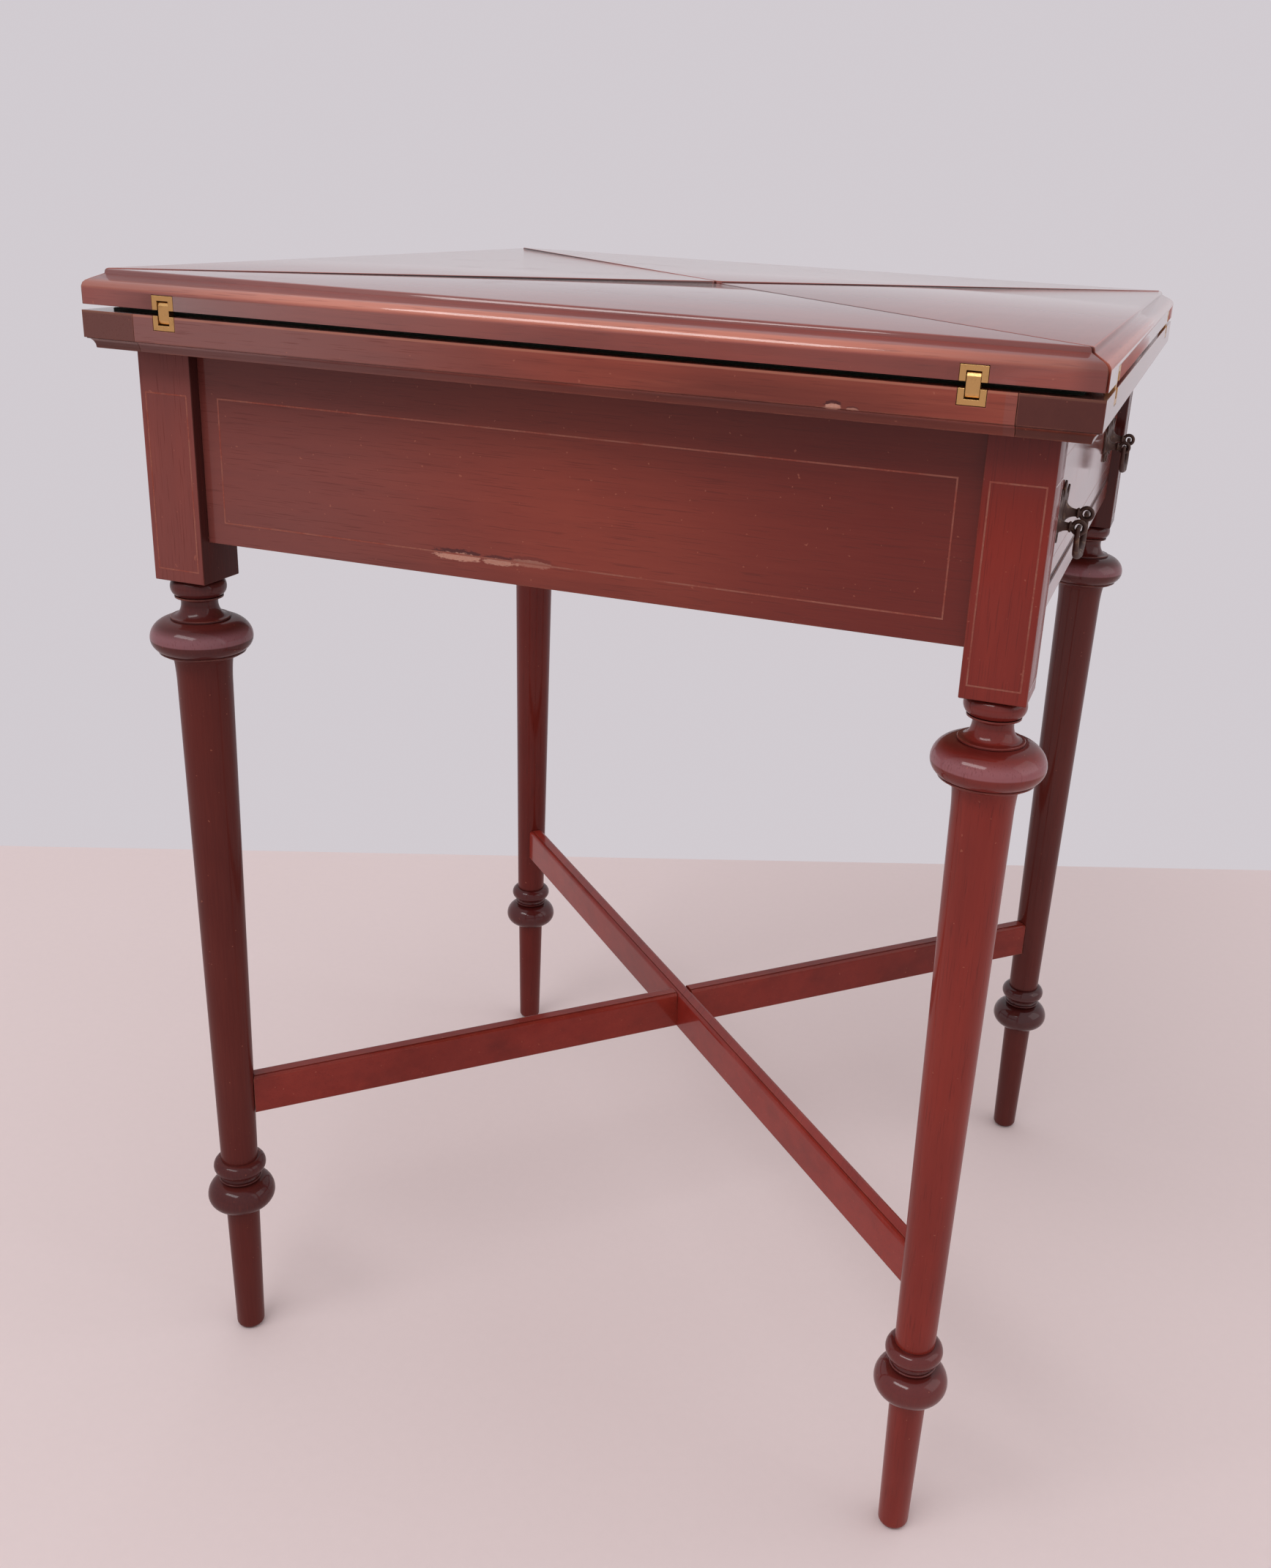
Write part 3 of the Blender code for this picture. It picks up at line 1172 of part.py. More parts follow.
def make_top():
    """Make the turning top and hang each flap and pair of links on its own axis."""
    top_pivot = pivot_at("top_axis", (0, 0, BOARD_BOTTOM))
    board = make_base_board()
    hinges = make_hinges()
    flaps = make_flaps()
    carry(top_pivot, make_swivel(), make_base_lining(), *board.values())
    for side in SIDES:
        plates, flap_plates, links = [
            [hinges[start, side, hand] for hand in HANDS]
            for start in ("hinge_board_plate", "hinge_flap_plate", "hinge_link")
        ]
        carry(top_pivot, *plates)
        turn = quarter_turn(side)
        axis_inset = -HALF_TOP + PIN_DEPTH
        link_pivot = pivot_at("link_axis_" + side, turn @ Vector((0, axis_inset, HINGE_MIDDLE - PIN_FROM_MIDDLE)))
        flap_pivot = pivot_at("flap_axis_" + side, turn @ Vector((0, axis_inset, HINGE_MIDDLE + PIN_FROM_MIDDLE)))
        carry(link_pivot, *links)
        carry(flap_pivot, *flap_plates, flaps["flap_" + side], flaps["flap_lining_" + side])


def make_drawer():
    """Make the drawer with its handles, and hang each bail on its own axis."""
    box = make_drawer_box()
    handles = make_handles(box["drawer_front"])
    slide = pivot_at("drawer_axis", (DRAWER_FRONT_BACK, 0, DRAWER_FLOOR))
    carry(slide, *box.values())
    for name, sign in (("near", -1), ("far", 1)):
        carry(slide, handles["handle_plate_" + name])
        place = (APRON_OUTER + EYE_REACH, sign * HANDLE_PLACE, EYE_HEIGHT)
        carry(pivot_at("bail_axis_" + name, place), handles["handle_bail_" + name])


clear_scene()
PARTS = new_collection("envelope_card_table")
CUTTERS = new_collection("cutters")
make_stand()
make_top()
make_drawer()
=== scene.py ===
import math

import bmesh
import bpy
from bpy.props import FloatProperty, FloatVectorProperty, IntProperty, PointerProperty
from mathutils import Matrix, Vector, noise


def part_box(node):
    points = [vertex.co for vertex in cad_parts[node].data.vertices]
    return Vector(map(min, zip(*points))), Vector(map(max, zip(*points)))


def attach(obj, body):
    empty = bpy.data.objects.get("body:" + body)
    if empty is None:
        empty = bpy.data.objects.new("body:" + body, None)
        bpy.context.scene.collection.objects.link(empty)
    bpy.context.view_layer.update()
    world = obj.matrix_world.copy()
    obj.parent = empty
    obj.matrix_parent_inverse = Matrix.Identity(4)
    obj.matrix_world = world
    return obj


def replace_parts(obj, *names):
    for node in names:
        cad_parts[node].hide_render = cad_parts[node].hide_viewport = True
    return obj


bl_info = {
    "name": "Envelope card table finishes",
    "version": (1, 0, 0),
    "blender": (4, 5, 0),
    "location": "3D View > Sidebar > Card table",
    "description": "Dresses the packed card table in French polished mahogany, brass, bronze and baize",
    "category": "Object",
}

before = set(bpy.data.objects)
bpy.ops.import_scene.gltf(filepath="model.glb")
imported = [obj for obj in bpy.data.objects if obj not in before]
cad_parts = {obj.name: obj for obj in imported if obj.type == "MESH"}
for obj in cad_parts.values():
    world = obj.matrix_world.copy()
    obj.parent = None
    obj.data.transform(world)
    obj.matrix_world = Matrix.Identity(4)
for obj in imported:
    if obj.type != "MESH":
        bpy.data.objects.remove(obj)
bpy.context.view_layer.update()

SIDES = ("front", "right", "back", "left")
ALONG_X, ALONG_Y, ALONG_Z = 0, 1, 2
HALF_TOP = 0.282
HEAD_SIDE, HEAD_HEIGHT = 0.0350, 0.1357
POST_GAP, POST_HEIGHT = 0.042, 0.648
CAMERA_PLACE = (0.33308, -1.00981, 0.81093)
CAMERA_TURN = (18.05, -21.2, 3.0)
CAMERA_SHIFT = (-0.03977, -0.00782)
leg_low, leg_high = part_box("leg_front_left")
apron_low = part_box("apron_front")[0]
drawer_low, drawer_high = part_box("drawer_front")
head_bottom = leg_high.z - HEAD_HEIGHT


# Settings


def tint(name, description, default):
    """A colour that a user can set."""
    return FloatVectorProperty(name=name, description=description, default=default,
                               subtype='COLOR', size=3, min=0.0, max=1.0)


def length(name, description, default, low, high):
    """A length in metres that a user can set."""
    return FloatProperty(name=name, description=description, default=default, min=low, max=high,
                         subtype='DISTANCE', unit='LENGTH')


def amount(name, description, default, low, high):
    """A plain number that a user can set."""
    return FloatProperty(name=name, description=description, default=default, min=low, max=high)


class PolishSettings(bpy.types.PropertyGroup):
    """Colours and gloss of the polished mahogany."""

    dark: tint("Dark streak", "Colour of the dark streaks and of end grain", (0.088, 0.0140, 0.0105))
    middle: tint("Body colour", "Main red brown of the stained wood", (0.212, 0.0330, 0.0215))
    light: tint("Light streak", "Colour of the lighter, more orange streaks", (0.300, 0.0600, 0.0360))
    # Wear on edges, also used as a painted highlight along the flaps' moulding and the board's top arris.
    worn: tint("Worn edge", "Colour where handling has thinned the polish on an edge",
               (0.400, 0.1350, 0.0850))
    stain: tint("Bead stain", "Purple brown stain of the beads", (0.030, 0.0080, 0.0115))
    faded: tint("Faded", "Greyer brown where the polish has faded", (0.170, 0.0600, 0.0560))
    deep: tint("Deep red", "Dark, saturated red where the polish is thick", (0.125, 0.0115, 0.0085))
    # Painted shade under the top's overhang, in the flaps' cove and on the back legs; it also darkens both
    # ends of the front flap and the front left leg below its head.
    shaded: tint("Darkened", "Nearly brown mahogany where old polish has darkened",
                 (0.062, 0.0085, 0.0075))
    # Painted shade in gaps and hollows: under the drawer front, in the hollow under the board's edge and in
    # the groove beside the front left leg head.
    grime: tint("Grime", "Colour of the dull dirt beside a gap", (0.014, 0.0045, 0.0055))
    # A painted highlight: the pale band round each turned bun.
    bloom: tint("Bloom", "Colour of the pale bloom on the polish of the turned buns",
                (0.380, 0.1800, 0.2100))
    bare: tint("Bare wood", "Colour of a scar that goes through the stain", (0.470, 0.2900, 0.2350))
    roughness: amount("Roughness", "Roughness of the stained wood under the polish", 0.42, 0.0, 1.0)
    coat: amount("Polish", "Strength of the French polish on top", 1.0, 0.0, 1.0)
    coat_roughness: amount("Polish roughness", "How dull the French polish has become", 0.10, 0.0, 1.0)
    coat_index: amount("Polish index", "Refractive index of the thin, waxed French polish", 1.36, 1.0, 2.0)
    glassy_index: amount("Thick polish index", "Refractive index of the thick polish on the flaps",
                         1.90, 1.0, 2.5)


class PlainWoodSettings(bpy.types.PropertyGroup):
    """Colours of the unpolished wood inside the table."""

    drawer_dark: tint("Drawer streak", "Colour of the dark streaks of the drawer's sides and bottom",
                      (0.190, 0.082, 0.038))
    drawer_light: tint("Drawer wood", "Main colour of the drawer's sides and bottom", (0.400, 0.215, 0.110))
    inside_dark: tint("Frame streak", "Colour of the dark streaks of the pieces inside the frame",
                      (0.105, 0.045, 0.024))
    inside_light: tint("Frame wood", "Main colour of the pieces inside the frame", (0.270, 0.130, 0.068))
    roughness: amount("Roughness", "Roughness of the bare wood", 0.66, 0.0, 1.0)


class FlapSettings(bpy.types.PropertyGroup):
    """Edges of the flaps and how far two of them have sunk."""

    ease: length("Eased edge", "Width of the flaps' rounded edges", 0.00045, 0.0001, 0.001)
    sag: length("Sunk tip", "How much thinner the front and right flaps have worn at their tips",
                0.0015, 0.0, 0.003)


class LegSettings(bpy.types.PropertyGroup):
    """How finely the legs are turned and how dark their beads are stained."""

    facets: IntProperty(
        name="Facets", description="Number of facets round a leg", min=24, max=160, default=72)
    arris: length("Arris", "Width of the rounded corner of the square head", 0.0007, 0.0001, 0.003)
    stain: amount("Bead stain", "How much darker the beads are than the shaft", 0.55, 0.0, 1.0)


class LineSettings(bpy.types.PropertyGroup):
    """The light line let into the frame."""

    width: length("Width", "Width of the line of light wood", 0.0009, 0.0003, 0.003)
    proud: length("Height", "How far the line stands above the board", 0.00008, 0.00002, 0.0005)
    colour: tint("Colour", "Colour of the line under its tinted polish", (0.245, 0.078, 0.055))


class MetalSettings(bpy.types.PropertyGroup):
    """Colours of the metal fittings."""

    brass: tint("Brass", "Colour of the rubbed brass of the hinges", (0.700, 0.425, 0.165))
    tarnish: tint("Tarnish", "Colour of the brass where it has browned", (0.340, 0.185, 0.065))
    bronze: tint("Bronze", "Colour of the dark handles", (0.092, 0.056, 0.048))
    rubbed: tint("Rubbed bronze", "Colour of the handles where fingers rub them", (0.330, 0.215, 0.135))
    iron: tint("Iron", "Colour of the iron of the swivel", (0.070, 0.066, 0.064))
    rust: tint("Rust", "Colour of the rusty film on the iron", (0.120, 0.052, 0.026))


class ClothSettings(bpy.types.PropertyGroup):
    """The baize of the playing surface."""

    colour: tint("Colour", "Green of the baize", (0.022, 0.110, 0.046))
    faded: tint("Faded", "Colour of the baize where it is rubbed and faded", (0.062, 0.160, 0.070))
    # Painted shade on the rim of the cloth that is seen in the gap under the flaps.
    rim_shade: tint("Soiled", "Colour of the cloth's dark rim under the flaps' edge", (0.007, 0.009, 0.006))
    spacing: length("Mesh spacing", "Distance between the mesh lines of the cloth", 0.010, 0.004, 0.05)
    ripple: length("Ripple", "How uneven the glued cloth lies", 0.00015, 0.0, 0.0006)


class StageSettings(bpy.types.PropertyGroup):
    """Floor, wall colour, lamps and camera."""

    floor: tint("Floor", "Colour of the plain floor", (0.740, 0.620, 0.620))
    wall: tint("Wall", "Colour of the pale background", (0.640, 0.600, 0.635))
    sky: amount("Sky strength", "Strength of the soft light from all round", 0.80, 0.0, 3.0)
    key: amount("Key lamp", "Power of the large lamp in front, in watts", 28.0, 0.0, 300.0)
    side: amount("Side lamp", "Power of the large lamp on the right, in watts", 10.0, 0.0, 300.0)
    lens: amount("Lens", "Focal length of the camera on a 36 mm sensor, in millimetres",
                 34.86, 10.0, 200.0)


# Depth and height of each point of the flaps' moulding, in the CAD model and as shown

MOULDING = (
    ((0.00000, 0.74190), (0.00000, 0.74060)), ((0.00036, 0.74325), (0.00045, 0.74210)),
    ((0.00135, 0.74424), (0.00150, 0.74330)), ((0.00270, 0.74460), (0.00300, 0.74415)),
    ((0.00390, 0.74460), (0.00500, 0.74510)), ((0.00558, 0.74493), (0.00700, 0.74610)),
    ((0.00701, 0.74589), (0.00860, 0.74695)), ((0.00797, 0.74732), (0.00905, 0.74725)),
    ((0.00830, 0.74900), (0.00930, 0.74880)), ((0.00859, 0.74971), (0.00975, 0.74960)),
    ((0.00930, 0.75000), (0.01060, 0.75000)))

# Shader helpers


class Shade:
    """A socket of a finish. Sums with it add their own Math nodes."""

    def __init__(self, finish, socket):
        self.finish = finish
        self.socket = socket

    def worked(self, operation, *values):
        return self.finish.add('ShaderNodeMath', {"operation": operation}, dict(enumerate(values)))

    def __add__(self, other):
        return self.worked('ADD', self, other)

    def __radd__(self, other):
        return self.worked('ADD', other, self)

    def __sub__(self, other):
        return self.worked('SUBTRACT', self, other)

    def __rsub__(self, other):
        return self.worked('SUBTRACT', other, self)

    def __mul__(self, other):
        return self.worked('MULTIPLY', self, other)

    def __rmul__(self, other):
        return self.worked('MULTIPLY', other, self)

    def __abs__(self):
        return self.worked('ABSOLUTE', self)


class Finish:
    """A material and the nodes that feed its shader."""

    def __init__(self, name):
        self.material = bpy.data.materials.new(name)
        self.material.use_nodes = True
        self.tree = self.material.node_tree
        self.shader = self.tree.nodes["Principled BSDF"]

    def add(self, kind, settings=None, values=None, output=0):
        """Add a node, apply its settings, fill its sockets and return one of its outputs."""
        node = self.tree.nodes.new(kind)
        for key, value in (settings or {}).items():
            setattr(node, key, value)
        for key, value in (values or {}).items():
            self.feed(node.inputs[key], value)
        return Shade(self, node.outputs[output])

    def feed(self, socket, value):
        """Link a socket to a shade, or give it a plain value."""
        if isinstance(value, Shade):
            self.tree.links.new(value.socket, socket)
        elif socket.type == 'RGBA' and len(value) == 3:
            socket.default_value = (*value, 1.0)
        else:
            socket.default_value = value

    def shade(self, **values):
        """Feed the shader's sockets, named with underscores in place of spaces."""
        for key, value in values.items():
            self.feed(self.shader.inputs[key.replace("_", " ")], value)

    def vector(self, operation, *values, output=0):
        """Work on vectors."""
        return self.add('ShaderNodeVectorMath', {"operation": operation}, dict(enumerate(values)), output)

    def mix(self, share, first, second):
        """Mix two colours."""
        return self.add('ShaderNodeMix', {"data_type": 'RGBA'}, {0: share, 6: first, 7: second}, 2)

    def step(self, value, low, high):
        """Rise smoothly from 0 at the low value to 1 at the high one."""
        values = {0: value, 1: low, 2: high}
        return self.add('ShaderNodeMapRange', {"interpolation_type": 'SMOOTHSTEP'}, values)

    def noise(self, place, scale, detail=2.0, roughness=0.5):
        """Cloudy noise, from 0 to 1 about a half."""
        values = {"Vector": place, "Scale": scale, "Detail": detail, "Roughness": roughness}
        return self.add('ShaderNodeTexNoise', None, values)

    def place(self, seed=0.0):
        """Place on the piece in metres, shifted so that no two pieces share their grain."""
        here = self.add('ShaderNodeTexCoord', output="Object")
        return self.vector('ADD', here, (seed * 1.37, seed * 2.11, seed * 0.73))

    def part(self, place, axis):
        """One coordinate of a place."""
        return self.add('ShaderNodeSeparateXYZ', None, {0: place}, axis)

    def edges(self, width):
        """The softened normal, and how close a convex corner and a hollow are."""
        soft = self.add('ShaderNodeBevel', {"samples": 4}, {"Radius": width})
        normal = self.add('ShaderNodeNewGeometry', output="Normal")
        turn = self.vector('DOT_PRODUCT', soft, normal, output="Value")
        open_air = self.add('ShaderNodeAmbientOcclusion', {"samples": 4, "only_local": True},
                            {"Distance": width * 6}, "AO")
        corner = self.step(1.0 - turn, 0.015, 0.16) * self.step(open_air, 0.80, 0.97)
        return soft, corner, self.step(open_air, 0.85, 0.35)

    def bump(self, height, depth, normal=None):
        """Relief of a given depth in metres."""
        values = {"Height": height, "Distance": depth, "Strength": 1.0}
        if normal is not None:
            values["Normal"] = normal
        return self.add('ShaderNodeBump', None, values)


def torn(finish, place, along, centre, size):
    """Mask of a mark about a point, frayed along the grain."""
    away = finish.vector('DIVIDE', finish.vector('SUBTRACT', place, centre), size)
    reach = finish.vector('LENGTH', away, output="Value")
    squeeze = tuple(0.30 if index == along else 1.0 for index in range(3))
    fray = finish.noise(finish.vector('MULTIPLY', place, squeeze), 900.0, 4.0, 0.7)
    return finish.step(reach + 1.5 * fray, 1.72, 1.48)


def darker(colour, share):
    """A colour scaled down."""
    return tuple(share * channel for channel in colour)


# Finishes


def grain_places(finish, place, along):
    """Places squeezed along the grain, for broad figure, streaks and pores."""
    squeezed = []
    for share in (0.16, 0.045, 0.028):
        scale = [1.0, 1.0, 1.0]
        scale[along] = share
        squeezed.append(finish.vector('MULTIPLY', place, tuple(scale)))
    return squeezed


def cut_across(finish, along):
    """The normal in the piece's own axes, and how squarely a face there cuts the grain."""
    turned = finish.add('ShaderNodeTexCoord', output="Normal")
    axis = tuple(1.0 if index == along else 0.0 for index in range(3))
    return turned, finish.step(abs(finish.vector('DOT_PRODUCT', turned, axis, output="Value")), 0.80, 0.95)


def below(axis, still, end, share, tint_name):
    """Tint of all that lies below a place along an axis."""
    return axis, (-1.0, -0.9, still, end), share, tint_name


def above(axis, start, full, share, tint_name, *floor):
    """Tint of all that lies above a place along an axis."""
    return axis, (start, full, 0.9, 1.0), share, tint_name, *floor


def polished_wood(name, along, seed, tone=1.0, red=1.0, marks=(), tints=(), calm=0.0, cut=0.0,
                  gloss=1.0, glassy=False, index=None):
    """Stained and French polished mahogany with its grain along one axis.

    A tint is an axis, the four places where it starts, is full, is still full and ends, its share, the
    name of its colour and, where it has one, the height at which it starts. The cut share paints shade on
    the upright faces of mitres, in the gaps between the flaps. A glassy piece is darker and more thickly
    polished on its upper side.
    """
    look = bpy.context.scene.card_table_polish
    finish = Finish(name)
    here = finish.place()
    place = finish.place(seed)
    broad, streaky, porous = grain_places(finish, place, along)
    wander = finish.add('ShaderNodeTexNoise', None, {"Vector": broad, "Scale": 9.0, "Detail": 2.0}, 1)
    wander = finish.vector('MULTIPLY', wander, (0.012, 0.012, 0.012))
    streaky = finish.vector('ADD', streaky, wander)
    figure = finish.noise(broad, 26.0, 3.0, 0.55)
    streak = finish.noise(streaky, 150.0, 4.0, 0.62)
    fibre = finish.noise(porous, 1050.0, 2.0, 0.6)
    pore = finish.step(finish.noise(porous, 1500.0, 1.0, 0.5), 0.60, 0.70)
    cloud = finish.noise(place, 6.5, 3.0, 0.5)
    soft, corner, hollow = finish.edges(0.0011)
    turned, end_grain = cut_across(finish, along)
    lively = 1.0 - calm
    grime = None
    gleam = 1.0

    def toned(colour):
        return (colour[0] * tone, colour[1] * tone * red, colour[2] * tone * red)

    body = finish.step(figure, 0.18, 0.56) * lively + calm
    colour = finish.mix(body, toned(look.dark), toned(look.middle))
    colour = finish.mix(finish.step(streak, 0.46, 0.78) * 0.45 * lively, colour, toned(look.light))
    colour = finish.mix(finish.step(streak, 0.50, 0.26) * 0.36 * lively, colour, toned(look.dark))
    colour = finish.mix(finish.step(cloud, 0.46, 0.74) * 0.38, colour, toned(look.light))
    colour = finish.mix(finish.step(cloud, 0.50, 0.24) * 0.42, colour, toned(look.dark))
    for axis, (start, full, still, end), share, tint_name, *floor in tints:
        where = finish.part(here, axis)
        band = finish.step(where, start, full) * finish.step(where, end, still)
        if floor:
            height = finish.part(here, ALONG_Z)
            band = band * finish.step(height, floor[0] - 0.0004, floor[0] + 0.0004)
        if abs(full - start) > 0.01:
            band = band * (0.55 + 0.9 * cloud)
        band = band * share
        band = band.worked('MINIMUM', band, 1.0)
        # Painted shade tints darken the colour and also dull the polish; stain tints raise the polish.
        if tint_name == "grime":
            grime = band if grime is None else grime.worked('MAXIMUM', grime, band)
        elif tint_name == "stain":
            gleam = gleam + 1.5 * band
        shade = getattr(look, tint_name)
        if tint_name not in ("stain", "grime", "bloom"):
            shade = toned(shade)
        colour = finish.mix(band, colour, shade)
    colour = finish.mix(fibre * 0.14, colour, toned(look.light))
    colour = finish.mix(pore * 0.38, colour, toned(look.dark))
    colour = finish.mix(end_grain * 0.62, colour, toned(look.dark))
    handled = finish.step(finish.noise(place, 55.0, 4.0, 0.7), 0.40, 0.66)
    # Lighter colour on convex edges: wear, and partly a painted highlight along them.
    wear = corner * (0.22 + 0.70 * handled)
    colour = finish.mix(wear, colour, look.worn)
    # Painted shade in the hollows, from the occlusion mask.
    colour = finish.mix(hollow * 0.75, colour, darker(look.dark, 0.30))
    speck = finish.step(finish.noise(place, 420.0, 1.0, 0.4), 0.775, 0.80)
    colour = finish.mix(speck * 0.35, colour, look.worn)
    scar = speck * 0.2
    for centre, size, share in marks:
        # A painted shadow in stain colour just above each mark.
        raised = finish.vector('SUBTRACT', here, (0.0, 0.0, size[2] * 0.8))
        colour = finish.mix(torn(finish, raised, along, centre, size) * 0.7 * share, colour, look.stain)
        mark = torn(finish, here, along, centre, size) * share
        patch = finish.mix(finish.noise(here, 900.0, 3.0, 0.6), look.bare, look.worn)
        colour = finish.mix(mark, colour, patch)
        scar = scar.worked('MAXIMUM', scar, mark)
    smear = finish.noise(place, 17.0, 5.0, 0.62)
    rough = look.roughness + 0.14 * (smear - 0.5) + 0.20 * wear + 0.25 * scar + 0.08 * end_grain
    polish = look.coat * gloss * (1.0 - 0.55 * wear) * (1.0 - 0.85 * scar) * (1.0 - 0.45 * hollow)
    polish = polish * gleam * (0.90 + 0.20 * finish.step(smear, 0.25, 0.60))
    if grime is not None:
        polish = polish * (1.0 - 0.95 * grime)
    # Painted shade on the upright faces of the mitres, in the gaps between the flaps, which also dulls their
    # polish.
    if cut:
        parts = [finish.part(turned, axis) for axis in (ALONG_X, ALONG_Y)]
        spots = [abs(finish.part(here, axis)) for axis in (ALONG_X, ALONG_Y)]
        inner = finish.step(spots[0].worked('MAXIMUM', *spots), 0.277, 0.266)
        mitre = finish.step(abs(parts[0] * parts[1]), 0.30, 0.46) * inner * cut
        colour = finish.mix(mitre, colour, darker(look.stain, 0.55))
        polish = polish * (1.0 - 0.9 * mitre)
    if glassy:
        upper = finish.step(finish.part(turned, ALONG_Z), 0.90, 0.98)
        colour = finish.mix(upper * 0.65, colour, toned(darker(look.deep, 0.7)))
        polish = polish * (0.50 + 0.50 * upper)
    relief = fibre * 0.10 - pore * 0.55 - scar * 1.6 + finish.noise(place, 60.0, 2.0, 0.5) * 0.3
    finish.shade(
        Base_Color=colour, Roughness=rough.worked('MINIMUM', rough, 0.9),
        Coat_Weight=polish.worked('MINIMUM', polish, 1.0),
        Coat_Roughness=look.coat_roughness * (0.6 if glassy else 1.0),
        Coat_IOR=look.glassy_index if glassy else index or look.coat_index,
        Specular_IOR_Level=0.30 if glassy else 0.05, Sheen_Weight=0.15 if glassy else 0.0,
        Sheen_Roughness=0.30, Normal=finish.bump(relief, 0.00004, soft))
    return finish.material


def plain_wood(name, along, seed, dark, light, rubbed=0.0):
    """Bare or lightly waxed wood with its grain along one axis."""
    look = bpy.context.scene.card_table_plain_wood
    finish = Finish(name)
    place = finish.place(seed)
    broad, streaky, porous = grain_places(finish, place, along)
    figure = finish.noise(broad, 34.0, 4.0, 0.6)
    streak = finish.noise(streaky, 190.0, 4.0, 0.62)
    pore = finish.step(finish.noise(porous, 1400.0, 1.0, 0.5), 0.58, 0.68)
    cloud = finish.noise(place, 8.0, 3.0, 0.55)
    soft, corner, hollow = finish.edges(0.0009)
    end_grain = cut_across(finish, along)[1]
    colour = finish.mix(finish.step(figure, 0.28, 0.70), dark, light)
    colour = finish.mix(finish.step(streak, 0.52, 0.28) * 0.55, colour, dark)
    colour = finish.mix(finish.step(cloud, 0.52, 0.28) * 0.40, colour, dark)
    colour = finish.mix(pore * 0.50, colour, darker(dark, 0.45))
    colour = finish.mix(end_grain * 0.55, colour, dark)
    colour = finish.mix(corner * 0.35, colour, light)
    # Painted shade in the hollows, from the occlusion mask.
    colour = finish.mix(hollow * 0.60, colour, darker(dark, 0.4))
    smear = finish.noise(place, 24.0, 4.0, 0.6)
    rough = look.roughness - 0.18 * rubbed + 0.20 * (smear - 0.5) + 0.06 * pore
    relief = streak * 0.5 - pore * 0.7 + finish.noise(porous, 900.0, 2.0, 0.6) * 0.5
    finish.shade(Base_Color=colour, Roughness=rough, Normal=finish.bump(relief, 0.00010, soft))
    return finish.material


def line_wood(name, seed):
    """The thin light line, dulled by tinted polish and broken where dirt has filled it."""
    look = bpy.context.scene.card_table_line
    polish = bpy.context.scene.card_table_polish
    finish = Finish(name)
    place = finish.place(seed)
    long = finish.noise(place, 60.0, 4.0, 0.6)
    fine = finish.noise(place, 700.0, 2.0, 0.6)
    colour = finish.mix(finish.step(long, 0.62, 0.36) * 0.80, look.colour, polish.middle)
    colour = finish.mix(finish.step(fine, 0.50, 0.75) * 0.35, colour, polish.worn)
    rough = polish.roughness + 0.12 * (long - 0.5)
    cover = polish.coat * (0.75 + 0.3 * long)
    finish.shade(Base_Color=colour, Roughness=rough, Coat_Weight=cover,
                 Coat_Roughness=polish.coat_roughness, Coat_IOR=polish.coat_index,
                 Specular_IOR_Level=0.05, Normal=finish.bump(fine, 0.00003))
    return finish.material


def rubbed_metal(name, seed, bright, dull, shares, roughness, fine):
    """Metal that has browned in its hollows and stays bright where it is rubbed."""
    finish = Finish(name)
    place = finish.place(seed)
    patch = finish.noise(place, 210.0, 5.0, 0.68)
    grit = finish.noise(place, 1600.0, 3.0, 0.6)
    brushed = finish.noise(finish.vector('MULTIPLY', place, (1.0, 1.0, 0.06)), 2600.0, 2.0, 0.5)
    soft, corner, hollow = finish.edges(fine)
    film = finish.step(patch, *shares)
    colour = finish.mix(film, bright, dull)
    colour = finish.mix(grit * 0.22, colour, dull)
    colour = finish.mix(corner * 0.65, colour, bright)
    colour = finish.mix(hollow * 0.85, colour, darker(dull, 0.4))
    rough = roughness + 0.22 * film + 0.12 * (grit - 0.5) - 0.08 * corner + 0.2 * hollow
    metal = 1.0 - 0.35 * film * grit - 0.3 * hollow
    relief = grit * 0.6 + brushed * 0.35 + patch * 0.8
    finish.shade(Base_Color=colour, Roughness=rough, Metallic=metal,
                 Normal=finish.bump(relief, 0.00005, soft))
    return finish.material


def baize_cloth(name, seed, rim):
    """Napped woollen cloth, rubbed lighter in places, with painted shade on its rim towards the table's
    edge.
    """
    look = bpy.context.scene.card_table_cloth
    finish = Finish(name)
    place = finish.place(seed)
    nap = finish.noise(place, 2400.0, 3.0, 0.7)
    tuft = finish.noise(place, 700.0, 3.0, 0.65)
    patch = finish.noise(place, 9.0, 4.0, 0.6)
    colour = finish.mix(finish.step(nap, 0.30, 0.75), darker(look.colour, 0.55), look.colour)
    rubbed = finish.step(patch, 0.50, 0.72) * 0.45 + 0.25 * finish.step(tuft, 0.5, 0.8)
    colour = finish.mix(rubbed, colour, look.faded)
    colour = finish.mix(finish.step(patch, 0.46, 0.30) * 0.35, colour, darker(look.colour, 0.6))
    parts = [abs(finish.part(finish.place(), axis)) for axis in (ALONG_X, ALONG_Y)]
    outward = parts[0].worked('MAXIMUM', *parts) + 0.012 * (patch - 0.5)
    # Painted shade on the cloth's outer rim, which lies in the gap under the flaps' edge.
    rim_shade = finish.step(outward, rim - 0.030, rim - 0.006)
    colour = finish.mix(rim_shade * 0.92, colour, look.rim_shade)
    rough = 0.86 + 0.14 * tuft
    finish.shade(Base_Color=colour, Roughness=rough, Sheen_Weight=0.22, Sheen_Roughness=0.55,
                 Specular_IOR_Level=0.15, Normal=finish.bump(nap * 0.7 + tuft * 0.6, 0.00035))
    return finish.material


# Shapes


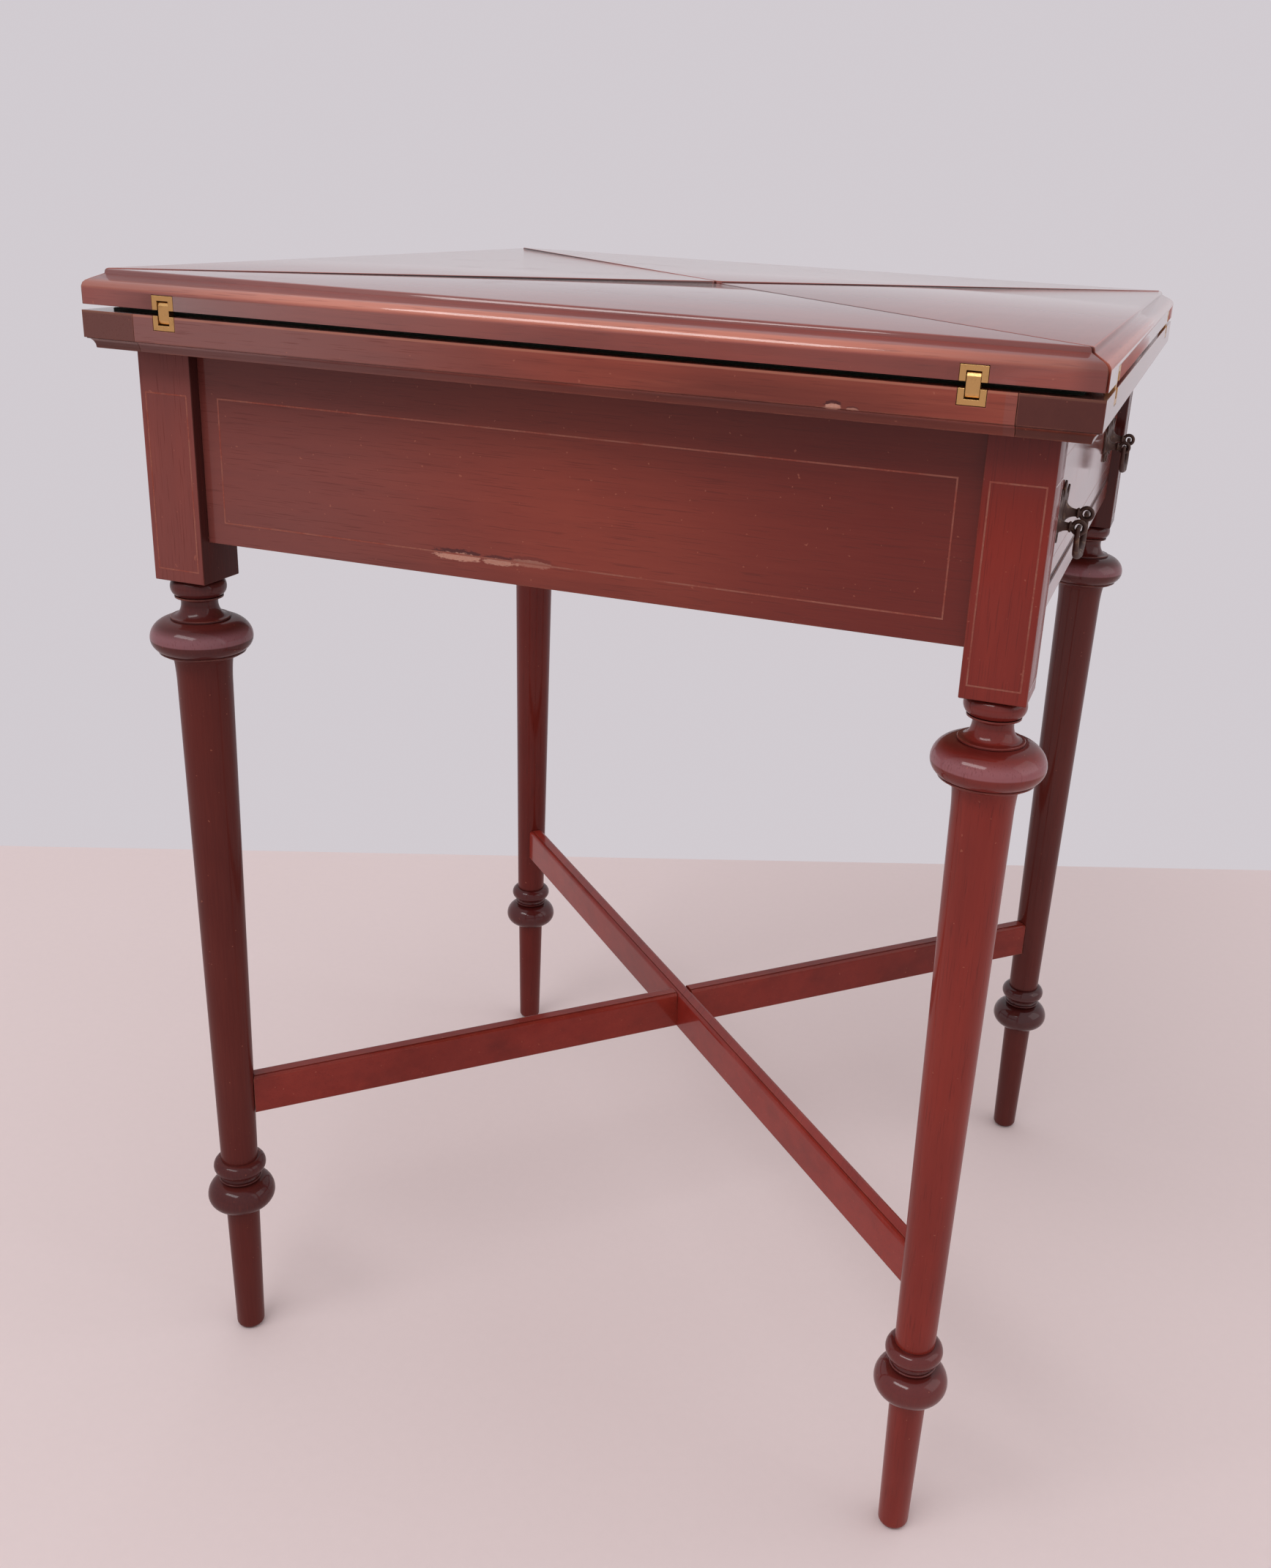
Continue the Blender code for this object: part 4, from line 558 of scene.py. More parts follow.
def shown(name, shape, material, body, smooth_deg=40.0, flat_area=1.0):
    """Turn an edited shape into a shown piece that rides on its body.

    Faces larger than the flat area are left flat, unless they slope.
    """
    mesh = bpy.data.meshes.new(name)
    shape.to_mesh(mesh)
    shape.free()
    mesh.materials.append(material)
    mesh.polygons.foreach_set("use_smooth", [
        face.area < flat_area or 0.08 < abs(face.normal.z) < 0.98 for face in mesh.polygons])
    mesh.set_sharp_from_angle(angle=math.radians(smooth_deg))
    piece = bpy.data.objects.new(name, mesh)
    bpy.context.scene.collection.objects.link(piece)
    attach(piece, body)
    return piece


def dress(material, *nodes):
    """Give carried-over nodes a finish."""
    for node in nodes:
        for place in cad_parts[node].material_slots:
            place.material = material


def quarter(centre, reach, start_deg, end_deg, steps):
    """Points along a stretch of an ellipse."""
    points = []
    for step in range(steps + 1):
        angle = math.radians(start_deg + (end_deg - start_deg) * step / steps)
        points.append((centre[0] + reach[0] * math.cos(angle), centre[1] + reach[1] * math.sin(angle)))
    return points


def rounded(root, radius, top, height, steps=12):
    """Profile of a half-round bead."""
    return quarter((root, top - height / 2), (radius - root, height / 2), 90, -90, steps)


def leg_profile(head_bottom):
    """Radii and heights of the turned part of a leg, from the head down to the floor."""
    top = head_bottom
    bead_root, bead_radius, bead_height = 0.0125, 0.0168, 0.0112
    fillet_radius, neck_radius, flare_height = 0.0146, 0.0112, 0.0085
    collar_radius, collar_height, arris = 0.0180, 0.0015, 0.0003
    bun_root, bun_reach, bun_rise, bun_fall = 0.0175, 0.0134, 0.0120, 0.0104
    ring_radius, ring_height, shaft_top_radius = 0.0262, 0.0008, 0.0191
    shaft_foot_radius, foot_top, foot_bead_radius, foot_bead_height = 0.0126, 0.1473, 0.0180, 0.0118
    waist_root, waist_bead_radius, waist_bead_height = 0.0132, 0.0146, 0.0022
    bulge_root, bulge_reach, bulge_rise, bulge_fall = 0.0125, 0.0107, 0.0116, 0.0100
    toe_top_radius, toe_flat_radius, toe_round = 0.0115, 0.0058, 0.0040

    profile = [(0.0, top + 0.004), (bead_root, top + 0.004)]
    profile += rounded(bead_root, bead_radius, top, bead_height)
    fillet = top - bead_height - 0.0010
    profile += [(fillet_radius, top - bead_height), (fillet_radius, fillet)]
    profile += [(neck_radius + 0.0007, fillet), (neck_radius, fillet - 0.0012)]
    flare = fillet - 0.0036
    profile += quarter((0.0170, flare), (0.0060, flare_height), 180, 270, 10)
    collar = flare - flare_height
    inner = collar_radius - arris
    profile += [(inner, collar), (collar_radius, collar - arris),
                (collar_radius, collar - collar_height + arris), (inner, collar - collar_height)]
    middle = collar - collar_height - bun_rise * math.sin(math.radians(84))
    profile += quarter((bun_root, middle), (bun_reach, bun_rise), 84, 0, 14)
    profile += quarter((bun_root, middle), (bun_reach, bun_fall), 0, -52, 9)[1:]
    ring = middle - bun_fall * math.sin(math.radians(52))
    profile += [(ring_radius, ring), (ring_radius, ring - ring_height)]
    profile += quarter((shaft_top_radius, ring - ring_height), (0.0061, 0.0022), 0, -90, 5)
    shaft = ring - 0.0030
    profile += quarter((shaft_top_radius, shaft - 0.0210), (0.0023, 0.0210), 112, 180, 8)
    profile += [(shaft_foot_radius, foot_top)]
    profile += rounded(shaft_foot_radius, foot_bead_radius, foot_top, foot_bead_height)
    waist = foot_top - foot_bead_height
    profile += quarter((0.0145, waist - 0.0015), (0.0013, 0.0015), 90, 270, 5)[1:-1]
    profile += rounded(waist_root, waist_bead_radius, waist - 0.0030, waist_bead_height, 6)
    groove = waist - 0.0030 - waist_bead_height
    profile += [(0.0128, groove - 0.0004)]
    bulge = groove - 0.0010 - bulge_rise * math.sin(math.radians(82))
    profile += quarter((bulge_root, bulge), (bulge_reach, bulge_rise), 82, 0, 12)
    profile += quarter((bulge_root, bulge), (bulge_reach, bulge_fall), 0, -84, 12)[1:]
    profile += [(toe_top_radius, profile[-1][1])]
    profile += quarter((toe_flat_radius, toe_round), (toe_round, toe_round), 0, -90, 6)
    profile.append((0.0, 0.0))
    return profile


def add_turning(shape, profile, centre, facets):
    """Add a turned solid, listed from the top down, about an upright axis."""
    rings = []
    for radius, height in profile:
        if radius < 1e-7:
            rings.append([shape.verts.new((centre[0], centre[1], height))])
            continue
        ring = []
        for step in range(facets):
            angle = 2 * math.pi * step / facets
            ring.append(shape.verts.new((
                centre[0] + radius * math.cos(angle), centre[1] + radius * math.sin(angle), height)))
        rings.append(ring)
    for upper, lower in zip(rings, rings[1:]):
        for step in range(facets):
            after = (step + 1) % facets
            if len(upper) == 1:
                shape.faces.new((upper[0], lower[step], lower[after]))
            elif len(lower) == 1:
                shape.faces.new((upper[step], lower[0], upper[after]))
            else:
                shape.faces.new((upper[step], lower[step], lower[after], upper[after]))


def add_block(shape, low, high, arris):
    """Add a block with rounded corners."""
    low, high = Vector(low), Vector(high)
    place = Matrix.Translation((low + high) / 2) @ Matrix.Diagonal((*(high - low), 1.0))
    made = bmesh.ops.create_cube(shape, size=1.0, matrix=place)
    edges = list({edge for vert in made["verts"] for edge in vert.link_edges})
    bmesh.ops.bevel(shape, geom=edges, offset=arris, segments=3, profile=0.5, affect='EDGES')


def shape_leg(name, arris, facets):
    """One leg with its square head and its turned shaft."""
    low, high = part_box(name)
    middle = Vector(((low.x + high.x) / 2, (low.y + high.y) / 2, 0.0))
    half = HEAD_SIDE / 2
    shape = bmesh.new()
    add_turning(shape, leg_profile(head_bottom), middle, facets)
    add_block(shape, (middle.x - half, middle.y - half, head_bottom),
              (middle.x + half, middle.y + half, high.z), arris)
    bmesh.ops.recalc_face_normals(shape, faces=shape.faces)
    return shape


def add_line_frame(shape, place, low, high, width, proud):
    """Add a mitred frame of line let into a face, whose plane the placement matrix gives."""
    let_in = -0.0004
    ease = min(width, proud) * 0.5
    drawn = []
    for margin, rise in ((0.0, let_in), (0.0, proud - ease), (ease, proud),
                         (width - ease, proud), (width, proud - ease), (width, let_in)):
        corners = ((low[0] + margin, low[1] + margin), (high[0] - margin, low[1] + margin),
                   (high[0] - margin, high[1] - margin), (low[0] + margin, high[1] - margin))
        drawn.append([shape.verts.new(place @ Vector((x, y, rise))) for x, y in corners])
    count = len(drawn)
    for index in range(count):
        first, second = drawn[index], drawn[(index + 1) % count]
        for step in range(4):
            after = (step + 1) % 4
            shape.faces.new((first[step], first[after], second[after], second[step]))


def facing(side, distance):
    """Placement of the plane of one side of the stand: across, up, and out from it."""
    turn = Matrix.Rotation(math.radians(90 * SIDES.index(side)), 4, 'Z')
    stand = Matrix(((1, 0, 0, 0), (0, 0, -1, -distance), (0, 1, 0, 0), (0, 0, 0, 1)))
    return turn @ stand


def through(points, steps):
    """A smooth closed outline through given points."""
    count = len(points)
    smooth = []
    for index in range(count):
        before, start, end, after = (Vector(points[(index + shift) % count]) for shift in (-1, 0, 1, 2))
        for step in range(steps):
            t = step / steps
            smooth.append(0.5 * (
                2 * start + (end - before) * t + (2 * before - 5 * start + 4 * end - after) * t * t
                + (3 * start - before - 3 * end + after) * t ** 3))
    return smooth


def add_tube(shape, points, radii, normal, closed, facets=16):
    """Add a round bar of changing thickness along points that lie in the plane of the normal."""
    rings = []
    last = len(points) - 1
    for index, (point, radius) in enumerate(zip(points, radii)):
        before = points[index - 1] if index or closed else point
        after = points[0 if index == last else index + 1] if index < last or closed else point
        side = (after - before).cross(normal).normalized()
        ring = []
        for step in range(facets):
            angle = 2 * math.pi * step / facets
            out = math.cos(angle) * side + math.sin(angle) * normal
            ring.append(shape.verts.new(point + radius * out))
        rings.append(ring)
    for index in range(len(rings) if closed else last):
        first, second = rings[index], rings[0 if index == last else index + 1]
        for step in range(facets):
            after = (step + 1) % facets
            shape.faces.new((first[step], first[after], second[after], second[step]))
    if not closed:
        shape.faces.new(rings[0])
        shape.faces.new(reversed(rings[-1]))


def add_lying_turning(shape, profile, place, facets):
    """Add a turned solid about a line along X, listed from its outer end inwards."""
    made = bmesh.new()
    add_turning(made, profile, (0.0, 0.0), facets)
    made.transform(Matrix.Translation((0.0, place[1], place[2])) @ Matrix.Rotation(math.radians(90), 4, 'Y'))
    mesh = bpy.data.meshes.new("turning")
    made.to_mesh(mesh)
    made.free()
    shape.from_mesh(mesh)
    bpy.data.meshes.remove(mesh)


# Half the outline of the handles' back plates, as shares of its half width and half height

HALF_PLATE = (
    (0.00, 0.86), (0.07, 0.62), (0.19, 0.50), (0.30, 0.62), (0.38, 0.92), (0.47, 1.00), (0.55, 0.72),
    (0.68, 0.44), (0.84, 0.46), (1.00, 0.66), (0.94, 0.28), (0.84, -0.02), (0.90, -0.36), (0.76, -0.28),
    (0.62, -0.47), (0.54, -0.86), (0.40, -0.58), (0.24, -0.44), (0.10, -0.68), (0.00, -1.00),
)


def handle_plate_shape(middle, seat, reach):
    """The shaped back plate with its two flared posts, their eyes and the nuts behind the drawer front."""
    half_width, half_height, rise = 0.040, 0.016, 0.002
    outline = [(across * half_width, up * half_height) for across, up in HALF_PLATE]
    outline += [(-across, up) for across, up in reversed(outline[1:-1])]
    outline = through(outline, 3)
    shape = bmesh.new()
    ring = [shape.verts.new((seat, middle + across, POST_HEIGHT + rise + up)) for across, up in outline]
    face = shape.faces.new(ring)
    if face.normal.x > 0:
        face.normal_flip()
    made = bmesh.ops.extrude_face_region(shape, geom=[face])
    raised = [item for item in made["geom"] if isinstance(item, bmesh.types.BMVert)]
    thickness = 0.0012
    bmesh.ops.translate(shape, vec=(thickness, 0.0, 0.0), verts=raised)
    front = [item for item in made["geom"] if isinstance(item, bmesh.types.BMFace)]
    bmesh.ops.bevel(shape, geom=list(front[0].edges), offset=0.00035, segments=2, profile=0.5,
                    affect='EDGES', clamp_overlap=True)
    bmesh.ops.triangulate(shape, faces=[item for item in shape.faces if len(item.verts) > 20],
                          ngon_method='EAR_CLIP')
    top, back = seat + 0.0011, drawer_low.x
    eye, bar, steps = 0.0033, 0.0012, 28
    angles = [2 * math.pi * step / steps for step in range(steps)]
    for way in (-1, 1):
        spot = (0.0, middle + way * POST_GAP / 2, POST_HEIGHT)
        post = [(0.0, reach - 0.0026), (0.0016, reach - 0.0026), (0.0019, reach - 0.0036),
                (0.0029, reach - 0.0041), (0.0031, reach - 0.0047), (0.0027, reach - 0.0052)]
        post += quarter((0.0068, top + 0.0068), (0.0046, 0.0060), 180, 262, 9)
        post += [(0.0067, top + 0.0002), (0.0067, top - 0.0006), (0.0, top - 0.0006)]
        add_lying_turning(shape, post, spot, 24)
        loop = [Vector((reach + eye * math.cos(angle), spot[1], POST_HEIGHT + eye * math.sin(angle)))
                for angle in angles]
        add_tube(shape, loop, [bar] * steps, Vector((0.0, 1.0, 0.0)), True, 12)
        add_lying_turning(shape, [(0.0, back - 0.0002), (0.0046, back - 0.0002), (0.0050, back - 0.0007),
                                  (0.0050, back - 0.0028), (0.0046, back - 0.0032), (0.0020, back - 0.0032),
                                  (0.0020, back - 0.0041), (0.0, back - 0.0043)], spot, 6)
    bmesh.ops.recalc_face_normals(shape, faces=shape.faces)
    return shape


def bail_shape(middle, reach):
    """The swinging bail: ends turned in through the eyes, and a bow that thickens to a small bead."""
    half = POST_GAP / 2
    corner, drop, steps = half + 0.0042, 0.0182, 44
    inner, outer = half - 0.0032, half + 0.0012
    points = [Vector((reach, middle - side, POST_HEIGHT)) for side in (inner, outer)]
    radii = [0.0012, 0.0013]
    for step in range(steps + 1):
        angle = math.pi * step / steps
        droop = math.sin(angle) ** 0.62
        points.append(Vector((reach, middle - corner * math.cos(angle), POST_HEIGHT - drop * droop)))
        away = abs(step - steps / 2)
        bead = math.exp(-(away / 1.3) ** 2) + 0.45 * math.exp(-((away - 3.2) / 0.9) ** 2)
        radii.append(0.0014 + 0.0009 * droop ** 2 + 0.0004 * bead)
    points += [Vector((reach, middle + side, POST_HEIGHT)) for side in (outer, inner)]
    radii += [0.0013, 0.0012]
    shape = bmesh.new()
    add_tube(shape, points, radii, Vector((1.0, 0.0, 0.0)), False, 14)
    bmesh.ops.recalc_face_normals(shape, faces=shape.faces)
    return shape


def clean_copy(node):
    """The CAD shape of a node with its triangles joined into whole faces."""
    shape = bmesh.new()
    shape.from_mesh(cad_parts[node].data)
    bmesh.ops.remove_doubles(shape, verts=shape.verts, dist=1e-6)
    bmesh.ops.dissolve_limit(shape, angle_limit=math.radians(1.5), verts=shape.verts, edges=shape.edges)
    return shape


def flap_shape(side, ease, sag):
    """A flap with a fuller moulding and eased mitre edges.

    A sunk one lies a little low at its tip, and the left one, which has cast, at its back end.
    """
    shape = clean_copy("flap_" + side)
    near = 0.00012
    outward = Matrix.Rotation(math.radians(90 * SIDES.index(side)), 3, 'Z') @ Vector((0.0, -1.0, 0.0))
    sideways = Vector((-outward.y, outward.x, 0.0))
    for vert in shape.verts:
        depth = HALF_TOP - vert.co.dot(outward)
        for (old_depth, old_z), (new_depth, new_z) in MOULDING:
            if abs(depth - old_depth) < near and abs(vert.co.z - old_z) < near:
                away = 1.0 if vert.co.dot(sideways) > 0.0 else -1.0
                vert.co += (new_depth - depth) * (-outward - away * sideways)
                vert.co.z = new_z
                break
    mitres = [face for face in shape.faces if face.calc_area() > 0.001 and abs(face.normal.z) < 0.1
              and abs(face.normal.x * face.normal.y) > 0.4]
    lowest_eased = 0.7400
    edges = {edge for face in mitres for edge in face.edges
             if min(vert.co.z for vert in edge.verts) > lowest_eased and edge.is_convex}
    bmesh.ops.bevel(shape, geom=list(edges), offset=ease, segments=2, profile=0.5, affect='EDGES',
                    clamp_overlap=True)
    lowest_sunk, flat_start, flat_depth, cast, cast_reach = 0.7485, 0.010, 0.269, 0.0007, 0.26
    for vert in shape.verts:
        depth = HALF_TOP - vert.co.dot(outward)
        if vert.co.z > lowest_sunk:
            vert.co.z -= sag * (0.2 + 0.8 * max(0.0, depth - flat_start) / flat_depth)
            if side == "left":
                vert.co.z -= cast * max(0.0, vert.co.y) / cast_reach
    return shape


def cloth_shape(node, spacing, ripple):
    """The cloth that stands for a lining: cut to its outline, finely meshed and laid a little unevenly."""
    shape = clean_copy(node)
    low = min(vert.co.z for vert in shape.verts)
    high = max(vert.co.z for vert in shape.verts)
    thickness, same = high - low, 1e-6
    rim = [edge for edge in shape.edges if all(abs(vert.co.z - low) < same for vert in edge.verts)
           or all(abs(vert.co.z - high) < same for vert in edge.verts)]
    bmesh.ops.bevel(shape, geom=rim, offset=thickness * 0.34, segments=3, profile=0.5, affect='EDGES')
    span = max(vert.co.x for vert in shape.verts) - min(vert.co.x for vert in shape.verts)
    for axis in (ALONG_X, ALONG_Y):
        start = min(vert.co[axis] for vert in shape.verts)
        end = max(vert.co[axis] for vert in shape.verts)
        count = max(2, round((end - start) / spacing))
        normal = Vector((0, 1, 0)) if axis else Vector((1, 0, 0))
        for step in range(1, count):
            at = start + (end - start) * step / count
            bmesh.ops.bisect_plane(
                shape, geom=shape.verts[:] + shape.edges[:] + shape.faces[:], dist=1e-7,
                plane_co=normal * at, plane_no=normal)
    for vert in shape.verts:
        uneven = noise.noise(Vector((vert.co.x, vert.co.y, span)) * 24.0)
        if min(abs(vert.co.z - low), abs(vert.co.z - high)) < thickness * 0.1:
            toward = -1.0 if vert.co.z > (low + high) / 2 else 1.0
            vert.co.z += toward * ripple * (0.5 + 0.5 * uneven)
    bmesh.ops.recalc_face_normals(shape, faces=shape.faces)
    return shape


# Operators


class Step:
    """What the steps share."""

    bl_options = {'REGISTER', 'UNDO'}


class CARDTABLE_OT_finish_top(Step, bpy.types.Operator):
    """Finish the base board and its two clamps in polished mahogany"""

    bl_idname = "cardtable.finish_top"
    bl_label = "Finish the base board"

    def execute(self, context):
        panel_low, panel_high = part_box("base_panel")
        front = panel_low.y
        # Painted shade in the hollow moulding under the board's edge.
        under = below(ALONG_Z, panel_low.z + 0.0040, panel_low.z + 0.0046, 0.35, "grime")
        marks = (((0.1544, front, 0.7131), (0.0050, 0.004, 0.0019), 1.0),
                 ((0.1642, front, 0.7129), (0.0034, 0.003, 0.0008), 0.7))
        top = panel_high.z
        # Lighter band at the board's top arris: wear, and a painted highlight along it.
        edge = (ALONG_Z, (top - 0.0016, top - 0.0010, top - 0.0003, top), 0.45, "worn")
        tints = (below(ALONG_X, -0.20, 0.04, 1.25, "faded"),
                 (ALONG_X, (0.2360, 0.2366, 0.2500, 0.2510), 0.30, "faded"), under, edge)
        dress(polished_wood("board_polish", ALONG_X, 1.0, 1.15, 1.25, marks, tints), "base_panel")
        tints = (below(ALONG_Y, -0.27, -0.15, 0.9, "faded"), under, edge)
        dress(polished_wood("left_clamp_polish", ALONG_Y, 2.0, red=1.60, tints=tints), "base_clamp_left")
        tints = (below(ALONG_Y, -0.2810, -0.2800, 0.60, "stain"), under, edge)
        dress(polished_wood("right_clamp_polish", ALONG_Y, 3.0, 0.85, 1.5, tints=tints), "base_clamp_right")
        return {'FINISHED'}


class CARDTABLE_OT_shape_flaps(Step, bpy.types.Operator):
    """Shape the four flaps with eased edges and dark mitres, and polish them"""

    bl_idname = "cardtable.shape_flaps"
    bl_label = "Shape the flaps"

    def execute(self, context):
        look = context.scene.card_table_flaps
        sags = {"front": 1.0, "right": 0.75, "back": 0.0, "left": 0.0}
        for number, side in enumerate(SIDES):
            node = "flap_" + side
            # On each flap: a painted highlight on the rounded slope of the moulding and painted shade in the
            # cove above it.
            slope, step = (0.7388, 0.7408, 0.7436, 0.7452), (0.7464, 0.7472, 0.7492, 0.7494)
            tints = ((ALONG_Z, slope, 0.55 if side == "front" else 0.25, "worn"),
                     (ALONG_Z, step, 0.60, "shaded"))
            if side == "front":
                tints = (below(ALONG_X, -0.20, 0.10, 0.45, "faded"), *tints,
                         below(ALONG_X, -0.26, -0.12, 0.50, "shaded"),
                         above(ALONG_X, 0.10, 0.29, 0.55, "shaded"),
                         above(ALONG_X, 0.262, 0.276, 0.60, "shaded"))
            along = ALONG_Y if number % 2 else ALONG_X
            material = polished_wood(
                side + "_flap_polish", along, 4.0 + number, 1.60, 1.1, tints=tints, calm=0.2, cut=0.97,
                gloss=2.0 if side == "right" else 1.0, glassy=True)
            shape = flap_shape(side, look.ease, look.sag * sags[side])
            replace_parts(shown(node + "_shaped", shape, material, node, flat_area=2e-5), node)
        return {'FINISHED'}


class CARDTABLE_OT_finish_frame(Step, bpy.types.Operator):
    """Finish the aprons and the drawer rails in polished mahogany"""

    bl_idname = "cardtable.finish_frame"
    bl_label = "Finish the frame"

    def execute(self, context):
        face = apron_low.y
        marks = (((-0.0615, face, 0.6077), (0.0175, 0.004, 0.0026), 1.0),
                 ((-0.0360, face, 0.6076), (0.0120, 0.004, 0.0022), 0.85),
                 ((-0.0165, face, 0.6090), (0.0140, 0.004, 0.0024), 0.45))
        # Painted shadow of the top's overhang, darkening the upper part of each apron.
        under = above(ALONG_Z, 0.6420, 0.6960, 0.50, "shaded")
        tints = (below(ALONG_X, -0.19, 0.02, 0.60, "faded"), above(ALONG_X, 0.00, 0.20, 0.85, "deep"), under)
        dress(polished_wood("front_apron_polish", ALONG_X, 9.0, 0.90, 1.0, marks, tints, 0.35),
              "apron_front")
        dress(polished_wood("back_apron_polish", ALONG_X, 10.0, 0.90, tints=(under,), calm=0.2),
              "apron_back")
        dress(polished_wood("left_apron_polish", ALONG_Y, 11.0, 0.90, tints=(under,), calm=0.2),
              "apron_left")
        # Painted shade of the gap under the drawer front, laid on the rails, which also dulls their polish.
        gap = drawer_low.z - 0.0002
        grime = (ALONG_Z, (gap - 0.0038, gap - 0.0026, gap + 0.001, gap + 0.002), 0.9, "grime")
        dress(polished_wood("rail_polish", ALONG_Y, 12.0, 0.90, tints=(grime,)),
              "drawer_rail_lower", "drawer_rail_upper")
        return {'FINISHED'}


class CARDTABLE_OT_turn_legs(Step, bpy.types.Operator):
    """Turn the four legs and finish them with darker beads"""

    bl_idname = "cardtable.turn_legs"
    bl_label = "Turn the legs"

    def execute(self, context):
        look = context.scene.card_table_legs
        head = head_bottom
        # Painted shade: the back legs' lower tones and darkened shafts, and the darkened back right head,
        # stand for the shade under the table.
        heads = {"leg_front_left": (0.60, "faded"), "leg_back_right": (0.80, "shaded")}
        rows = {"leg_front_left": (1.05, 1.00, 1.0, 0.24, 0.9),
                "leg_front_right": (0.92, 0.62, 0.0, 0.42, 0.5),
                "leg_back_left": (0.62, 0.60, 0.2, 0.36, 0.5),
                "leg_back_right": (0.48, 0.75, 0.3, 0.45, 0.5)}
        for number, (name, (tone, red, shaded, gloss, bun)) in enumerate(rows.items()):
            tints = [below(ALONG_Z, head - 0.001, head, shaded, "shaded"),
                     # Painted shadow of the top's overhang on the upper part of the head.
                     above(ALONG_Z, 0.6450, 0.7000, 0.55, "shaded"),
                     above(ALONG_Z, head - 0.001, head, *heads.get(name, (0.0, "shaded"))),
                     (ALONG_Z, (0.1060, 0.1070, 0.1470, 0.1480), look.stain, "stain"),
                     (ALONG_Z, (head - 0.0480, head - 0.0470, head, head + 0.0004),
                      look.stain * bun, "stain"),
                     # Painted highlight: a pale band round each bun just below its widest part.
                     (ALONG_Z, (head - 0.0384, head - 0.0374, head - 0.0340, head - 0.0280),
                      0.42, "bloom")]
            # Painted shade in the groove between the front left head and the apron.
            if name == "leg_front_left":
                tints.append(above(ALONG_X, -0.2281, -0.2277, 0.85, "grime", head))
            material = polished_wood(name + "_polish", ALONG_Z, 13.0 + number, tone, red, tints=tints,
                                     calm=0.5, gloss=gloss, index=1.52)
            shape = shape_leg(name, look.arris, look.facets)
            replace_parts(shown(name + "_turned", shape, material, "stand", 32.0), name)
        return {'FINISHED'}


class CARDTABLE_OT_finish_stretcher(Step, bpy.types.Operator):
    """Finish the crossed stretcher rails"""

    bl_idname = "cardtable.finish_stretcher"
    bl_label = "Finish the stretcher"

    def execute(self, context):
        rows = (("under", ALONG_X, 18.0, 0.90, 0.60), ("over", ALONG_Y, 19.0, 1.08, 0.52))
        for place, along, seed, tone, red in rows:
            material = polished_wood(place + "_rail_polish", along, seed, tone, red, calm=0.4, gloss=0.75)
            dress(material, "stretcher_rail_" + place)
        return {'FINISHED'}


class CARDTABLE_OT_run_lines(Step, bpy.types.Operator):
    """Let the light lines into the aprons, the leg heads and the drawer front"""

    bl_idname = "cardtable.run_lines"
    bl_label = "Run the light lines"

    def execute(self, context):
        look = context.scene.card_table_line
        material = line_wood("line_polish", 20.0)
        head_middle = -(leg_low.y + leg_high.y) / 2
        head_out = HEAD_SIDE / 2 + head_middle
        for side in SIDES:
            frames = [] if side == "right" else [
                (-apron_low.y, (-0.2154, apron_low.z + 0.0126), (0.2145, apron_low.z + 0.0856))]
            for middle in (-head_middle, head_middle):
                frames.append((head_out, (middle - 0.0142, head_bottom + 0.0070),
                               (middle + 0.0142, head_bottom + 0.1118)))
            self.run(look, material, side, frames, "light_lines_" + side, "stand")
        border = 0.012
        frames = [(drawer_high.x, (drawer_low.y + border, drawer_low.z + border),
                   (drawer_high.y - border, drawer_high.z - border))]
        self.run(look, material, "right", frames, "light_lines_drawer", "drawer")
        return {'FINISHED'}

    def run(self, look, material, side, frames, name, body):
        """Show frames of line on one side, each given by its plane's distance and two corners."""
        shape = bmesh.new()
        for distance, low, high in frames:
            add_line_frame(shape, facing(side, distance), low, high, look.width, look.proud)
        bmesh.ops.recalc_face_normals(shape, faces=shape.faces)
        shown(name, shape, material, body)


class CARDTABLE_OT_fit_hinges(Step, bpy.types.Operator):
    """Finish the sixteen slotted plates and the eight links in rubbed brass"""

    bl_idname = "cardtable.fit_hinges"
    bl_label = "Finish the hinges"

    def execute(self, context):
        look = context.scene.card_table_metal
        for number, side in enumerate(SIDES):
            for hand in "ab":
                seed = 21.0 + number * 2 + (hand == "b")
                material = rubbed_metal("hinge_brass_%s_%s" % (side, hand), seed, look.brass, look.tarnish,
                                        shares=(0.52, 0.80), roughness=0.30, fine=0.0005)
                for piece in ("hinge_board_plate", "hinge_flap_plate", "hinge_link"):
                    dress(material, "%s_%s_%s" % (piece, side, hand))
        return {'FINISHED'}


class CARDTABLE_OT_lay_baize(Step, bpy.types.Operator):
    """Lay the green cloth on the base board and on the underside of each flap"""

    bl_idname = "cardtable.lay_baize"
    bl_label = "Lay the baize"

    def execute(self, context):
        look = context.scene.card_table_cloth
        linings = [("base_lining", "top", "base_panel")]
        linings += [("flap_lining_" + side, "flap_" + side, "flap_" + side) for side in SIDES]
        for number, (node, body, board) in enumerate(linings):
            shape = cloth_shape(node, look.spacing, look.ripple)
            material = baize_cloth(node + "_nap", 30.0 + number, rim=0.270)
            piece = shown(node + "_baize", shape, material, body)
            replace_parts(piece, node)
        return {'FINISHED'}


